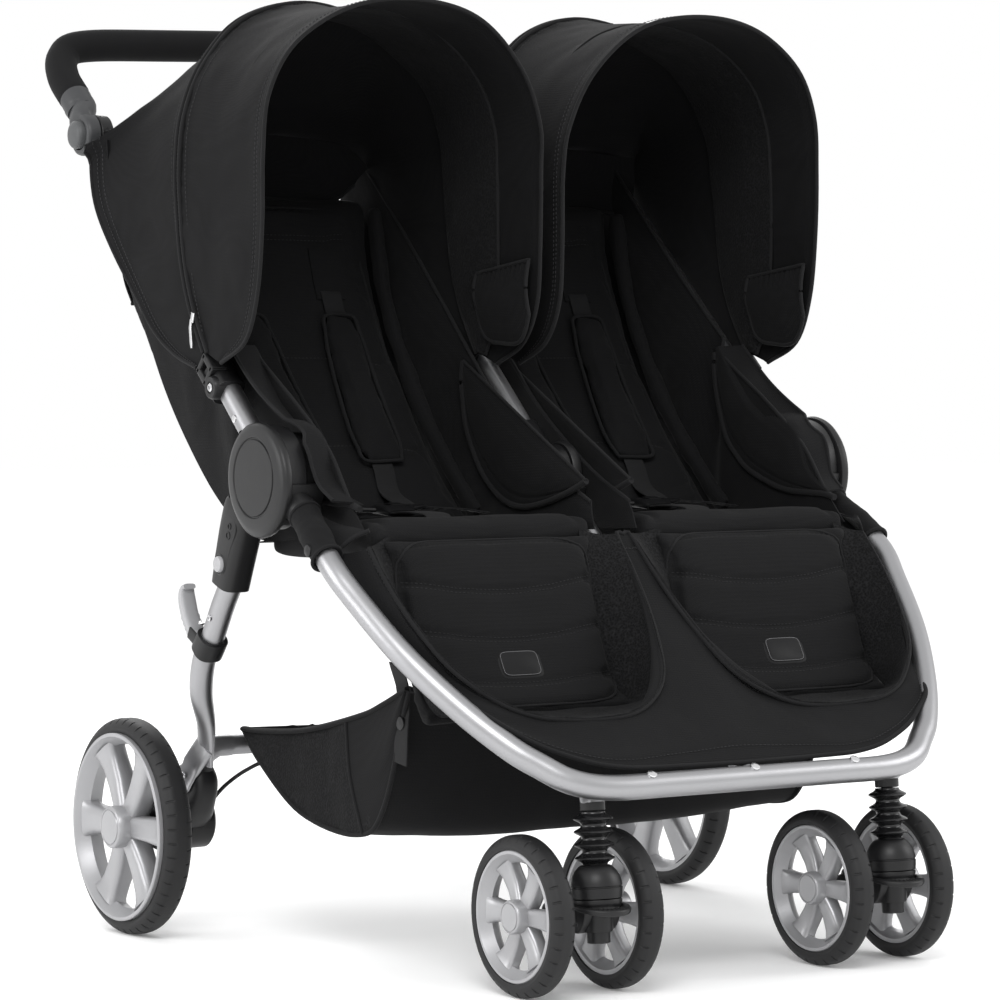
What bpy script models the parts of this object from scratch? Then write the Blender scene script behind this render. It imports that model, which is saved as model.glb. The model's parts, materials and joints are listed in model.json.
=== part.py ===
"""A side-by-side double stroller: a folding tube frame with two seats, two canopies and a basket.

Metres, +Z up. The front of the stroller faces -Y, and the origin is on the ground under its middle.
The frame folds about one axis through its three hubs: the handle comes forward over the seats while
the rear legs swing forward under them. Every moving piece has its origin on its own joint's axis.
"""

import math

import bmesh
import bpy
from mathutils import Vector

# --- driving dimensions ----------------------------------------------------------------------------

GAP = 0.0003                 # between solids that touch
TUBE_RADIUS = 0.0125         # main frame tubes
TUBE_SIDES = 10

SIDE_X = 0.335               # the outer handle tubes, either side of the middle
HUB_Y, HUB_Z = -0.0715, 0.500
HANDLE_SLOPE = math.radians(42.3)
HANDLE_LENGTH = 0.5495       # hub axis to handlebar pivot
CANOPY_PIVOT_REACH = 0.142   # hub axis to canopy pivot, along the handle tube

REAR_WHEEL_RADIUS, REAR_WHEEL_WIDTH, REAR_RIM_RADIUS = 0.117, 0.032, 0.101
REAR_WHEEL_X, REAR_AXLE_Y = 0.3554, 0.2125
REAR_AXLE_RADIUS = 0.005
CASTER_WHEEL_RADIUS, CASTER_WHEEL_WIDTH, CASTER_RIM_RADIUS = 0.0794, 0.027, 0.0644
CASTER_X, CASTER_WHEEL_OFFSET = 0.182, 0.052
CASTER_AXLE_Y, CASTER_AXLE_RADIUS = -0.3721, 0.004
POST_TOP_Y, POST_TOP_Z = -0.4161, 0.191
POST_LEAN = math.radians(4.7)            # the post's foot stands in front of its head
SUSPENSION_TRAVEL = 0.012

FRONT_BAR_Y, FRONT_BAR_Z = -0.4305, 0.205
FRONT_SLOPE = math.radians(42.4)
SEAT_INNER_X, SEAT_OUTER_X = 0.026, 0.306
SEAT_MIDDLE_X = (SEAT_INNER_X + SEAT_OUTER_X) / 2
SEAT_FRONT_Y, SEAT_TOP_Z = -0.2065, 0.455
BIGHT_Y, BIGHT_Z = 0.0135, 0.440         # where seat and backrest meet
BASKET_HALF_WIDTH = 0.27
CROSSBAR_Y, CROSSBAR_Z = 0.1435, 0.206
GRIP_RADIUS = 0.018

CANOPY_OUTER_X, CANOPY_INNER_X = 0.353, 0.0148
FABRIC = 0.003               # thickness of a fabric panel
BOW_RADIUS = 0.003

LEFT, RIGHT = -1, 1
SIDES = (("left", LEFT), ("right", RIGHT))


def along_handle(reach):
    """(y, z) of the point this far from the hub axis along a handle tube."""
    return HUB_Y + reach * math.cos(HANDLE_SLOPE), HUB_Z + reach * math.sin(HANDLE_SLOPE)


HANDLE_PIVOT_Y, HANDLE_PIVOT_Z = along_handle(HANDLE_LENGTH)
CANOPY_PIVOT_Y, CANOPY_PIVOT_Z = along_handle(CANOPY_PIVOT_REACH)

# --- looks: colour, roughness, metallic --------------------------------------------------------------

SILVER_TUBE = ((0.60, 0.60, 0.60, 1), 0.35, 0.9)
SILVER_PLASTIC = ((0.62, 0.62, 0.63, 1), 0.42, 0.0)
BLACK_PLASTIC = ((0.030, 0.030, 0.032, 1), 0.48, 0.0)
GREY_PLASTIC = ((0.16, 0.16, 0.165, 1), 0.45, 0.0)
BLACK_RUBBER = ((0.022, 0.022, 0.023, 1), 0.75, 0.0)
GRIP_FOAM = ((0.035, 0.035, 0.037, 1), 0.85, 0.0)
BLACK_FABRIC = ((0.012, 0.012, 0.013, 1), 0.92, 0.0)

# --- helpers -----------------------------------------------------------------------------------------


def clear_scene():
    for obj in list(bpy.data.objects):
        bpy.data.objects.remove(obj, do_unlink=True)


def material(name, look):
    colour, roughness, metallic = look
    made = bpy.data.materials.new(name)
    made.use_nodes = True
    shader = made.node_tree.nodes["Principled BSDF"]
    shader.inputs["Base Color"].default_value = colour
    shader.inputs["Roughness"].default_value = roughness
    shader.inputs["Metallic"].default_value = metallic
    return made


def solid(name, bm, look, pivot=(0, 0, 0)):
    """A bmesh in world coordinates as a named object whose origin is at its pivot."""
    bmesh.ops.recalc_face_normals(bm, faces=bm.faces)
    if bm.calc_volume(signed=True) < 0:
        bmesh.ops.reverse_faces(bm, faces=bm.faces)
    bmesh.ops.translate(bm, verts=bm.verts, vec=-Vector(pivot))
    mesh = bpy.data.meshes.new(name)
    bm.to_mesh(mesh)
    bm.free()
    mesh.shade_smooth()
    mesh.set_sharp_from_angle(angle=math.radians(35))
    mesh.materials.append(material(name, look))
    obj = bpy.data.objects.new(name, mesh)
    obj.location = pivot
    bpy.context.collection.objects.link(obj)
    return obj


def combine(first, second, operation="UNION"):
    """The Boolean of two closed meshes, as a new bmesh. Both of the others are used up."""
    objects = []
    for bm in (first, second):
        bmesh.ops.recalc_face_normals(bm, faces=bm.faces)
        if bm.calc_volume(signed=True) < 0:
            bmesh.ops.reverse_faces(bm, faces=bm.faces)
        mesh = bpy.data.meshes.new("operand")
        bm.to_mesh(mesh)
        bm.free()
        obj = bpy.data.objects.new("operand", mesh)
        bpy.context.collection.objects.link(obj)
        objects.append(obj)
    base, tool = objects
    modifier = base.modifiers.new("combine", "BOOLEAN")
    modifier.operation = operation
    modifier.solver = "EXACT"
    modifier.object = tool
    graph = bpy.context.evaluated_depsgraph_get()
    evaluated = base.evaluated_get(graph)
    result = bmesh.new()
    result.from_mesh(evaluated.to_mesh())
    evaluated.to_mesh_clear()
    for obj in objects:
        mesh = obj.data
        bpy.data.objects.remove(obj, do_unlink=True)
        bpy.data.meshes.remove(mesh)
    return result


def union(*shapes):
    result = shapes[0]
    for shape in shapes[1:]:
        result = combine(result, shape)
    return result


def mirrored(points, side):
    """Points given for the right-hand side (+X), moved to this side."""
    return [Vector((side * x, y, z)) for x, y, z in points]


def curve_through(points, per_span=4):
    """A Catmull-Rom curve through the points."""
    given = [Vector(p) for p in points]
    ends = [2 * given[0] - given[1]] + given + [2 * given[-1] - given[-2]]
    found = []
    for i in range(len(given) - 1):
        a, b, c, d = ends[i:i + 4]
        for k in range(per_span):
            t = k / per_span
            found.append(0.5 * (2 * b + (c - a) * t + (2 * a - 5 * b + 4 * c - d) * t * t
                                + (3 * b - a - 3 * c + d) * t ** 3))
    found.append(given[-1])
    return found


def section(sides, half_a, half_b, power):
    """A superellipse: power 2 is an ellipse, and a higher power is closer to a rectangle."""
    points = []
    for k in range(sides):
        angle = 2 * math.pi * (k + 0.5) / sides
        c, s = math.cos(angle), math.sin(angle)
        points.append((half_a * math.copysign(abs(c) ** (2 / power), c),
                       half_b * math.copysign(abs(s) ** (2 / power), s)))
    return points


def loft(rings, closed=False):
    """A solid through rings of equally many points: capped, or joined end to end when closed."""
    bm = bmesh.new()
    loops = [[bm.verts.new(p) for p in ring] for ring in rings]
    pairs = list(zip(loops, loops[1:]))
    if closed:
        pairs.append((loops[-1], loops[0]))
    for a, b in pairs:
        for k in range(len(a)):
            n = (k + 1) % len(a)
            bm.faces.new((a[k], a[n], b[n], b[k]))
    if not closed:
        bm.faces.new(list(reversed(loops[0])))
        bm.faces.new(loops[-1])
    bmesh.ops.recalc_face_normals(bm, faces=bm.faces)
    return bm


def sweep(path, size, side, sides=TUBE_SIDES, power=2.0):
    """A solid along a path. size is one (a, b) or one for each point; a lies along the side direction."""
    path = [Vector(p) for p in path]
    side = Vector(side)
    sizes = size if isinstance(size, list) else [size] * len(path)
    rings = []
    for i, point in enumerate(path):
        tangent = (path[min(i + 1, len(path) - 1)] - path[max(i - 1, 0)]).normalized()
        first = (side - tangent * side.dot(tangent)).normalized()
        second = tangent.cross(first)
        rings.append([point + first * u + second * v
                      for u, v in section(sides, sizes[i][0], sizes[i][1], power)])
    return loft(rings)


def round_tube(path, radius, side, sides=TUBE_SIDES):
    return sweep(path, (radius, radius), side, sides)


def turned(stations, base, direction, sides=20):
    """A solid of revolution. Each station is (distance along the axis, radius)."""
    direction = Vector(direction).normalized()
    turn = direction.to_track_quat("Z", "Y").to_matrix()
    rings = []
    for distance, radius in stations:
        rings.append([Vector(base) + direction * distance
                      + turn @ Vector((radius * math.cos(a), radius * math.sin(a), 0))
                      for a in (2 * math.pi * (k + 0.5) / sides for k in range(sides))])
    return loft(rings)


def ring(profile, base, direction, sides=32):
    """A ring: a closed profile of (distance along the axis, radius) turned about the axis."""
    direction = Vector(direction).normalized()
    turn = direction.to_track_quat("Z", "Y").to_matrix()
    rings = []
    for k in range(sides):
        angle = 2 * math.pi * (k + 0.5) / sides
        out = turn @ Vector((math.cos(angle), math.sin(angle), 0))
        rings.append([Vector(base) + direction * d + out * r for d, r in profile])
    return loft(rings, closed=True)


def box(low, high):
    bm = bmesh.new()
    bmesh.ops.create_cube(bm, size=1)
    low, high = Vector(low), Vector(high)
    bmesh.ops.scale(bm, verts=bm.verts, vec=high - low)
    bmesh.ops.translate(bm, verts=bm.verts, vec=(low + high) / 2)
    return bm


def plate(outline, low_x, high_x):
    """An outline of (y, z) points, extruded from one x to another."""
    rings = [[Vector((x, y, z)) for y, z in outline] for x in (low_x, high_x)]
    return loft(rings)


def arc(centre, radius, first, last, steps):
    """(y, z) points on an arc, angles in degrees from +Y towards +Z."""
    return [(centre[0] + radius * math.cos(math.radians(first + (last - first) * k / steps)),
             centre[1] + radius * math.sin(math.radians(first + (last - first) * k / steps)))
            for k in range(steps + 1)]


# --- front frame --------------------------------------------------------------------------------------

# Half-width of the U tube at each distance from the front bar, measured up its sloping plane.
U_TUBE = ((0.0, 0.0), (0.0, 0.10), (0.001, 0.17), (0.012, 0.210), (0.035, 0.236), (0.060, 0.258),
          (0.113, 0.289), (0.185, 0.319), (0.262, 0.338), (0.316, 0.346))


def front_plane(distance):
    """(y, z) this far up the plane of the U tube from the front bar."""
    return (FRONT_BAR_Y + distance * math.cos(FRONT_SLOPE),
            FRONT_BAR_Z + distance * math.sin(FRONT_SLOPE))


PLANE_NORMAL = Vector((0, -math.sin(FRONT_SLOPE), math.cos(FRONT_SLOPE)))
HUB_BLOCK_REACH = 0.060      # outer end of the block that holds the front tube


def hub_point(reach, degrees):
    """(y, z) this far from the hub axis, at this angle from +Y towards +Z."""
    angle = math.radians(degrees)
    return HUB_Y + reach * math.cos(angle), HUB_Z + reach * math.sin(angle)


FRONT_TUBE_ANGLE = 211       # where the front tube leaves the hub


def front_route():
    """The U tube's centre line, from the left hub round the front to the right hub."""
    half = [(x, *front_plane(s)) for s, x in U_TUBE]
    half.append((SIDE_X, *hub_point(HUB_BLOCK_REACH + 0.003, FRONT_TUBE_ANGLE)))
    return curve_through(mirrored(half[:0:-1], LEFT) + mirrored(half, RIGHT), 2)


def build_front_tube():
    u_tube = round_tube(front_route(), TUBE_RADIUS, PLANE_NORMAL)
    top_y, top_z = hub_point(0.0475 + GAP, 216)
    spine = curve_through(((0, top_y, top_z), (0, -0.200, 0.393), (0, FRONT_BAR_Y, FRONT_BAR_Z)), 2)
    spine_tube = round_tube(spine, 0.0105, (1, 0, 0), 8)
    solid("front_frame_tube", union(u_tube, spine_tube), SILVER_TUBE)


HUB_PLATE_X = (0.349, 0.3625)
LEG_KNUCKLE_X = (0.3078, 0.3275)
HANDLE_KNUCKLE_X = (0.328, 0.3485)
LEG_KNUCKLE_RADIUS, HANDLE_KNUCKLE_RADIUS = 0.038, 0.045


def hub_block(inner, outer, first, last):
    """The outline of a block between two radii and two angles about the hub axis."""
    centre = (HUB_Y, HUB_Z)
    return arc(centre, inner, first, last, 4) + arc(centre, outer, last, first, 4)


def build_hubs():
    for name, side in SIDES:
        low, high = HUB_PLATE_X
        cover = turned(((0, 0.056), (0.009, 0.059), (high - low, 0.050)), (side * low, HUB_Y, HUB_Z),
                       (side, 0, 0), 28)
        block = plate(hub_block(0.0465, HUB_BLOCK_REACH, 198, 227),
                      side * (LEG_KNUCKLE_X[0] + 0.002), side * (low + 0.003))
        solid(f"hub_{name}", union(cover, block), GREY_PLASTIC)
    cheeks = []
    for side in (LEFT, RIGHT):
        cheeks.append(turned(((0, 0.032), (0.010, 0.032), (0.0135, 0.027)),
                             (side * 0.0100, HUB_Y, HUB_Z), (side, 0, 0), 20))
    web = plate(hub_block(0.031, 0.0475, 204, 228), -0.0195, 0.0195)
    solid("hub_centre", union(web, *cheeks), GREY_PLASTIC)


def seat_outline():
    """(y, z) of the seat base: a padded board, thicker and rolled over at its front edge."""
    return [(SEAT_FRONT_Y, SEAT_TOP_Z - 0.006), (SEAT_FRONT_Y + 0.012, SEAT_TOP_Z + 0.003),
            (SEAT_FRONT_Y + 0.05, SEAT_TOP_Z + 0.002), (BIGHT_Y - 0.02, BIGHT_Z + 0.004),
            (BIGHT_Y - 0.004, BIGHT_Z - 0.006), (BIGHT_Y - 0.008, BIGHT_Z - 0.022),
            (SEAT_FRONT_Y + 0.05, SEAT_TOP_Z - 0.034), (SEAT_FRONT_Y + 0.006, SEAT_TOP_Z - 0.026)]


def calf_outline():
    """(y, z) of the calf rest: it hangs from the seat's front edge and curls forward at its foot."""
    front = [(-0.2125, 0.446), (-0.2300, 0.390), (-0.2520, 0.330), (-0.2720, 0.295), (-0.3020, 0.272)]
    back = [(-0.2980, 0.260), (-0.2600, 0.277), (-0.2380, 0.320), (-0.2150, 0.385), (-0.2070, 0.424)]
    return front + back


def slab(outline, low_x, high_x, inset=0.006):
    """An outline extruded across X, its two ends drawn in a little so that the edges look soft."""
    count = len(outline)
    middle = Vector((0, sum(p[0] for p in outline) / count, sum(p[1] for p in outline) / count))
    rings = []
    for x, grow in ((low_x, 0), (low_x + inset, 1), (high_x - inset, 1), (high_x, 0)):
        scale = 1 if grow else 0.90
        rings.append([Vector((x, middle.y + (y - middle.y) * scale, middle.z + (z - middle.z) * scale))
                      for y, z in outline])
    return loft(rings)


def build_seats():
    for name, side in SIDES:
        inner, outer = side * SEAT_INNER_X, side * SEAT_OUTER_X
        low, high = min(inner, outer), max(inner, outer)
        solid(f"seat_base_{name}", slab(seat_outline(), low, high), BLACK_FABRIC)
        solid(f"calf_rest_{name}", slab(calf_outline(), low + 0.012, high - 0.012), BLACK_FABRIC)


APRON_TOP = (-0.2120, 0.4420)           # (y, z) of the strip between the seats
APRON_FOOT = (-0.4260, 0.2225)          # just above the front bar
APRON_THICKNESS = 0.004


def build_apron():
    """The fabric front: a tongue between the seats, a wide foot and an arm along each side tube."""
    top, foot = Vector((0, *APRON_TOP)), Vector((0, *APRON_FOOT))
    length = (foot - top).length
    down = (foot - top).normalized()
    normal = down.cross(Vector((1, 0, 0))).normalized()
    # (x, distance down) of the right half, from the tongue's tip round to the middle of the foot.
    outline = [(0.008, 0.0), (0.016, 0.094), (0.040, 0.183), (0.060, 0.211), (0.095, 0.233),
               (0.136, 0.240), (0.200, 0.236), (0.235, 0.224), (0.260, 0.203), (0.287, 0.165),
               (0.306, 0.106), (0.315, 0.040), (0.323, 0.040), (0.316, 0.106), (0.298, 0.178),
               (0.270, 0.232), (0.225, 0.272), (0.180, 0.294), (0.130, 0.304), (0.0, length)]
    right = [top + Vector((x, 0, 0)) + down * s for x, s in outline]
    left = [top + Vector((-x, 0, 0)) + down * s for x, s in reversed(outline[:-1])]
    flat = right + left
    rings = [[p + normal * h for p in flat] for h in (0, APRON_THICKNESS)]
    solid("apron", loft(rings), BLACK_FABRIC)


def build_basket():
    """An open fabric tray under the seats, higher at its front."""
    floor = [(0.1200, 0.2230), (0.0815, 0.1900), (-0.0035, 0.1440), (-0.1165, 0.1320),
             (-0.1700, 0.1650), (-0.2195, 0.2640)]
    bm = bmesh.new()
    walls = []
    for x in (-BASKET_HALF_WIDTH, BASKET_HALF_WIDTH):
        walls.append([bm.verts.new((x, y, z)) for y, z in floor])
    for k in range(len(floor) - 1):
        bm.faces.new((walls[0][k], walls[0][k + 1], walls[1][k + 1], walls[1][k]))
    for wall in walls:
        bm.faces.new(wall)
    bmesh.ops.recalc_face_normals(bm, faces=bm.faces)
    bmesh.ops.solidify(bm, geom=bm.faces, thickness=-FABRIC)
    solid("basket", bm, BLACK_FABRIC)


# --- casters ------------------------------------------------------------------------------------------

POST_DIRECTION = Vector((0, -math.sin(POST_LEAN), -math.cos(POST_LEAN)))    # down the post
BELLOWS_SPAN = (0.006, 0.060)           # distances down the post from its head
COLLAR_SPAN = (0.061, 0.092)
YOKE_SPAN = (0.0925, 0.136)
POST_RADIUS = 0.006


def post_head(side):
    return Vector((side * CASTER_X, POST_TOP_Y, POST_TOP_Z))


def build_caster_posts():
    for name, side in SIDES:
        head = post_head(side)
        post = turned(((-0.006, 0.010), (0.0055, 0.013), (0.0056, POST_RADIUS), (0.073, POST_RADIUS)),
                      head, POST_DIRECTION, 16)
        bracket = round_tube((head - POST_DIRECTION * 0.0055, (side * CASTER_X, FRONT_BAR_Y + 0.0075,
                                                              FRONT_BAR_Z - 0.0125)), 0.008, (1, 0, 0), 8)
        clear = round_tube(front_route(), TUBE_RADIUS + 2 * GAP, PLANE_NORMAL)
        shape = combine(union(post, bracket), clear, "DIFFERENCE")
        solid(f"caster_post_{name}", shape, BLACK_PLASTIC)
        start, end = BELLOWS_SPAN
        folds = 4
        outer = []
        for k in range(folds):
            pitch = (end - start) / folds
            outer.append((start + pitch * (k + 0.08), 0.0125))
            outer.append((start + pitch * (k + 0.50), 0.0195))
        outer.append((end, 0.0125))
        inner = [(end, POST_RADIUS + 0.001), (start + 0.0005, POST_RADIUS + 0.001)]
        solid(f"bellows_{name}", ring(outer + inner, head, POST_DIRECTION, 16), BLACK_RUBBER)


def build_caster_collars():
    """The sprung collar that slides up the post."""
    start, end = COLLAR_SPAN
    for name, side in SIDES:
        head = post_head(side)
        bore = POST_RADIUS + 0.0006
        floor = 0.0865
        profile = ((start, 0.014), (start + 0.008, 0.024), (start + 0.018, 0.028), (end, 0.028),
                   (end, 0.004), (floor, 0.004), (floor, bore), (start, bore))
        collar = ring(profile, head, POST_DIRECTION, 20)
        solid(f"caster_collar_{name}", collar, BLACK_PLASTIC, head)


def caster_axle(side):
    return Vector((side * CASTER_X, CASTER_AXLE_Y, CASTER_WHEEL_RADIUS))


def build_yokes():
    """The yoke: a round head on the post axis, an arm back to the axle and a lock tab in front."""
    start, end = YOKE_SPAN
    for name, side in SIDES:
        head, axle = post_head(side), caster_axle(side)
        column = turned(((start, 0.027), (start + 0.012, 0.024), (start + 0.030, 0.017), (end, 0.012)),
                        head, POST_DIRECTION, 20)
        middle = head + POST_DIRECTION * (start + 0.022)
        arm = sweep((middle, (middle + axle) / 2 + Vector((0, 0, 0.003)), axle),
                    [(0.021, 0.013), (0.021, 0.015), (0.021, 0.013)], (1, 0, 0), 12, 4)
        reach = CASTER_WHEEL_OFFSET + CASTER_RIM_X[1] - 0.002
        spindle = round_tube((axle - Vector((reach, 0, 0)), axle + Vector((reach, 0, 0))),
                             CASTER_AXLE_RADIUS, (0, 0, 1), 10)
        pivot = head + POST_DIRECTION * start
        solid(f"caster_yoke_{name}", union(column, arm, spindle), BLACK_PLASTIC, pivot)
        hinge = head + POST_DIRECTION * (start + 0.005) + Vector((0, -0.0305, 0))
        barrel = round_tube((hinge - Vector((0.012, 0, 0)), hinge + Vector((0.012, 0, 0))),
                            0.0028, (0, 0, 1), 8)
        tab = box(hinge + Vector((-0.010, -0.0100, -0.0015)), hinge + Vector((0.010, -0.001, 0.0015)))
        solid(f"swivel_lock_{name}", union(barrel, tab), GREY_PLASTIC, hinge)


# --- wheels -------------------------------------------------------------------------------------------


def tyre(radius, width, rim_radius, segments):
    """A tyre about the X axis at the origin, with a flat tread facet at its lowest point."""
    crown = radius / math.cos(math.pi / segments)
    half = width / 2
    profile = [(-half * 0.42, crown), (half * 0.42, crown), (half * 0.95, crown - 0.006),
               (half, rim_radius + 0.002), (-half, rim_radius + 0.002), (-half * 0.95, crown - 0.006)]
    return ring(profile, (0, 0, 0), (1, 0, 0), segments)


def rim(radius, inner, outer, cap, bore, hub_radius, spoke_half_width, segments):
    """A six-spoke wheel about the X axis, outer face towards +X, with a blind bore behind its hub cap."""
    lip_outer = (radius + 0.0014) / math.cos(math.pi / segments) - 0.0006
    lip_inner = radius - 0.010
    middle = (inner + outer) / 2
    shape = ring([(inner, lip_inner + 0.004), (inner, lip_outer), (outer, lip_outer),
                  (outer, lip_inner + 0.005), (middle, lip_inner)], (0, 0, 0), (1, 0, 0), segments)
    hub = turned(((inner, hub_radius), (outer, hub_radius), (cap - 0.002, hub_radius * 0.92),
                  (cap, hub_radius * 0.80)), (0, 0, 0), (1, 0, 0), 12)
    shape = combine(shape, hub)
    for k in range(6):
        angle = math.radians(60 * k)
        out = Vector((0, math.cos(angle), math.sin(angle)))
        centre = Vector((middle, 0, 0))
        spoke = sweep((centre + out * hub_radius * 0.6, centre + out * (lip_inner + 0.004)),
                      [(0.0100, spoke_half_width), (0.0080, spoke_half_width * 1.15)], (1, 0, 0), 4, 6)
        shape = combine(shape, spoke)
    hole = turned(((inner - 0.01, bore), (outer - 0.001, bore)), (0, 0, 0), (1, 0, 0), 12)
    return combine(shape, hole, "DIFFERENCE")


REAR_RIM_X = (-0.0135, 0.0200, 0.0271)      # inner face, outer face and hub cap, from the tyre's middle
CASTER_RIM_X = (-0.0110, 0.0125, 0.0160)


def place_wheel(label, centre, outward, tyre_mesh, rim_mesh):
    """One wheel's tyre and rim, its outer face towards outward (1 for +X, -1 for -X)."""
    for kind, mesh, look in (("tyre", tyre_mesh, BLACK_RUBBER), ("rim", rim_mesh, SILVER_PLASTIC)):
        name = label.replace("wheel", kind)
        obj = bpy.data.objects.new(name, mesh)
        obj.location = centre
        obj.rotation_euler = (0, 0, 0 if outward > 0 else math.pi)
        bpy.context.collection.objects.link(obj)
        obj.material_slots[0].link = "OBJECT"
        obj.material_slots[0].material = material(name, look)


def wheel_mesh(bm, look):
    """A mesh for several wheels to share. Its own object is taken away again."""
    obj = solid("wheel", bm, look)
    mesh = obj.data
    bpy.data.objects.remove(obj, do_unlink=True)
    return mesh


BEARING_GAP = 0.0006


def build_wheels():
    segments = 40
    tyre_mesh = wheel_mesh(tyre(REAR_WHEEL_RADIUS, REAR_WHEEL_WIDTH, REAR_RIM_RADIUS, segments),
                           BLACK_RUBBER)
    rim_mesh = wheel_mesh(rim(REAR_RIM_RADIUS, *REAR_RIM_X, REAR_AXLE_RADIUS + BEARING_GAP,
                              0.021, 0.0105, segments), SILVER_PLASTIC)
    for name, side in SIDES:
        place_wheel(f"rear_wheel_{name}", (side * REAR_WHEEL_X, REAR_AXLE_Y, REAR_WHEEL_RADIUS), side,
                    tyre_mesh, rim_mesh)
    segments = 24
    tyre_mesh = wheel_mesh(tyre(CASTER_WHEEL_RADIUS, CASTER_WHEEL_WIDTH, CASTER_RIM_RADIUS, segments),
                           BLACK_RUBBER)
    rim_mesh = wheel_mesh(rim(CASTER_RIM_RADIUS, *CASTER_RIM_X, CASTER_AXLE_RADIUS + BEARING_GAP,
                              0.015, 0.0075, segments), SILVER_PLASTIC)
    for name, side in SIDES:
        for place, outward in (("outer", side), ("inner", -side)):
            centre = caster_axle(side) + Vector((outward * CASTER_WHEEL_OFFSET, 0, 0))
            place_wheel(f"caster_wheel_{name}_{place}", centre, outward, tyre_mesh, rim_mesh)


# --- handle frame -------------------------------------------------------------------------------------

HUB_AXIS = (0, HUB_Y, HUB_Z)
CANOPY_DISC_X = (0.346, 0.3575)          # the round canopy mount on the outside of a handle tube
HANDLE_END_X = (0.318, 0.3345)
GRIP_KNUCKLE_X = (0.335, 0.352)
KNUCKLE_RADIUS = 0.022
TOP_BAR_REACH = 0.505                    # hub axis to the bar between the handle tubes
TOP_BAR_RADIUS = 0.009


def build_handle_tubes():
    for name, side in SIDES:
        low, high = HANDLE_KNUCKLE_X
        knuckle = turned(((low, HANDLE_KNUCKLE_RADIUS), (high, HANDLE_KNUCKLE_RADIUS)),
                         (0, HUB_Y, HUB_Z), (side, 0, 0), 20)
        tube = round_tube((Vector((side * SIDE_X, *along_handle(0.0405))),
                           Vector((side * SIDE_X, *along_handle(HANDLE_LENGTH - 0.0235)))),
                          TUBE_RADIUS, (1, 0, 0))
        low, high = CANOPY_DISC_X
        mount = turned(((low - 0.020, 0.0165), (high - 0.003, 0.0165), (high, 0.013)),
                       (0, CANOPY_PIVOT_Y, CANOPY_PIVOT_Z), (side, 0, 0), 16)
        low, high = HANDLE_END_X
        end = union(turned(((low, KNUCKLE_RADIUS), (high, KNUCKLE_RADIUS)),
                           (0, HANDLE_PIVOT_Y, HANDLE_PIVOT_Z), (side, 0, 0), 16),
                    sweep((Vector((side * 0.3262, *along_handle(HANDLE_LENGTH - 0.035))),
                           Vector((side * 0.3262, *along_handle(HANDLE_LENGTH - 0.010)))),
                          (0.0080, 0.0150), (1, 0, 0), 8, 4))
        solid(f"handle_tube_{name}", union(knuckle, tube, mount, end), SILVER_TUBE, HUB_AXIS)
    eye = turned(((-0.0095, 0.029), (0.0095, 0.029)), (0, HUB_Y, HUB_Z), (1, 0, 0), 20)
    neck = sweep((Vector((0, *along_handle(0.005))), Vector((0, *along_handle(0.050)))),
                 (0.0095, 0.0120), (1, 0, 0), 8, 4)
    tube = round_tube((Vector((0, *along_handle(0.036))), Vector((0, *along_handle(TOP_BAR_REACH)))),
                      TUBE_RADIUS - 0.0005, (1, 0, 0))
    reach = SIDE_X - TUBE_RADIUS - GAP
    top_bar = round_tube((Vector((-reach, *along_handle(TOP_BAR_REACH))),
                          Vector((reach, *along_handle(TOP_BAR_REACH)))), TOP_BAR_RADIUS, (0, 0, 1))
    solid("handle_centre_tube", union(eye, neck, tube, top_bar), SILVER_TUBE, HUB_AXIS)


# Right-hand route of the grip, from its end at the pivot to the middle of the bar.
GRIP_ROUTE = ((0.3345, 0.3600, 0.8960), (0.3350, 0.3760, 0.9120), (0.3350, 0.4060, 0.9380),
              (0.3250, 0.4280, 0.9620), (0.2980, 0.4335, 0.9765), (0.2000, 0.4335, 0.9820),
              (0.0, 0.4335, 0.9870))


def build_handlebar():
    axis = (0, HANDLE_PIVOT_Y, HANDLE_PIVOT_Z)
    half = list(GRIP_ROUTE[1:])
    route = mirrored(half, LEFT) + mirrored(half[-2::-1], RIGHT)
    normal = Vector((0, -0.7, 0.7))
    grip = round_tube(curve_through(route, 3), GRIP_RADIUS, normal)
    solid("handlebar_grip", grip, GRIP_FOAM, axis)
    for name, side in SIDES:
        low, high = GRIP_KNUCKLE_X
        disc = turned(((low, KNUCKLE_RADIUS), (high, KNUCKLE_RADIUS)),
                      (0, HANDLE_PIVOT_Y, HANDLE_PIVOT_Z), (side, 0, 0), 20)
        start, end = Vector(GRIP_ROUTE[0]), Vector(GRIP_ROUTE[1])
        towards = (end - start).normalized()
        neck = sweep([Vector((side * p.x, p.y, p.z)) for p in
                      (Vector((0.3437, HANDLE_PIVOT_Y + 0.008, HANDLE_PIVOT_Z + 0.008)),
                       Vector((0.3437, HANDLE_PIVOT_Y + 0.020, HANDLE_PIVOT_Z + 0.021)),
                       Vector((0.3380, start.y + 0.004, start.z + 0.004)), end - towards * 0.0052)],
                     [(0.0085, 0.0150), (0.0085, 0.0150), (0.0135, 0.0160), (0.0165, 0.0165)],
                     (1, 0, 0), 10, 2.6)
        pocket = turned(((0.343, 0.0165), (0.36, 0.0165)), (0, HANDLE_PIVOT_Y, HANDLE_PIVOT_Z),
                        (side, 0, 0), 20)
        knuckle = combine(union(disc, neck), pocket, "DIFFERENCE")
        solid(f"handlebar_knuckle_{name}", knuckle, GREY_PLASTIC, (side * SIDE_X, *axis[1:]))
        button = turned(((0.3475, 0.0155), (0.3580, 0.0155), (0.3600, 0.0125)),
                        (0, HANDLE_PIVOT_Y, HANDLE_PIVOT_Z), (side, 0, 0), 20)
        solid(f"handlebar_button_{name}", button, GREY_PLASTIC, (side * 0.3475, *axis[1:]))


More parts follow.
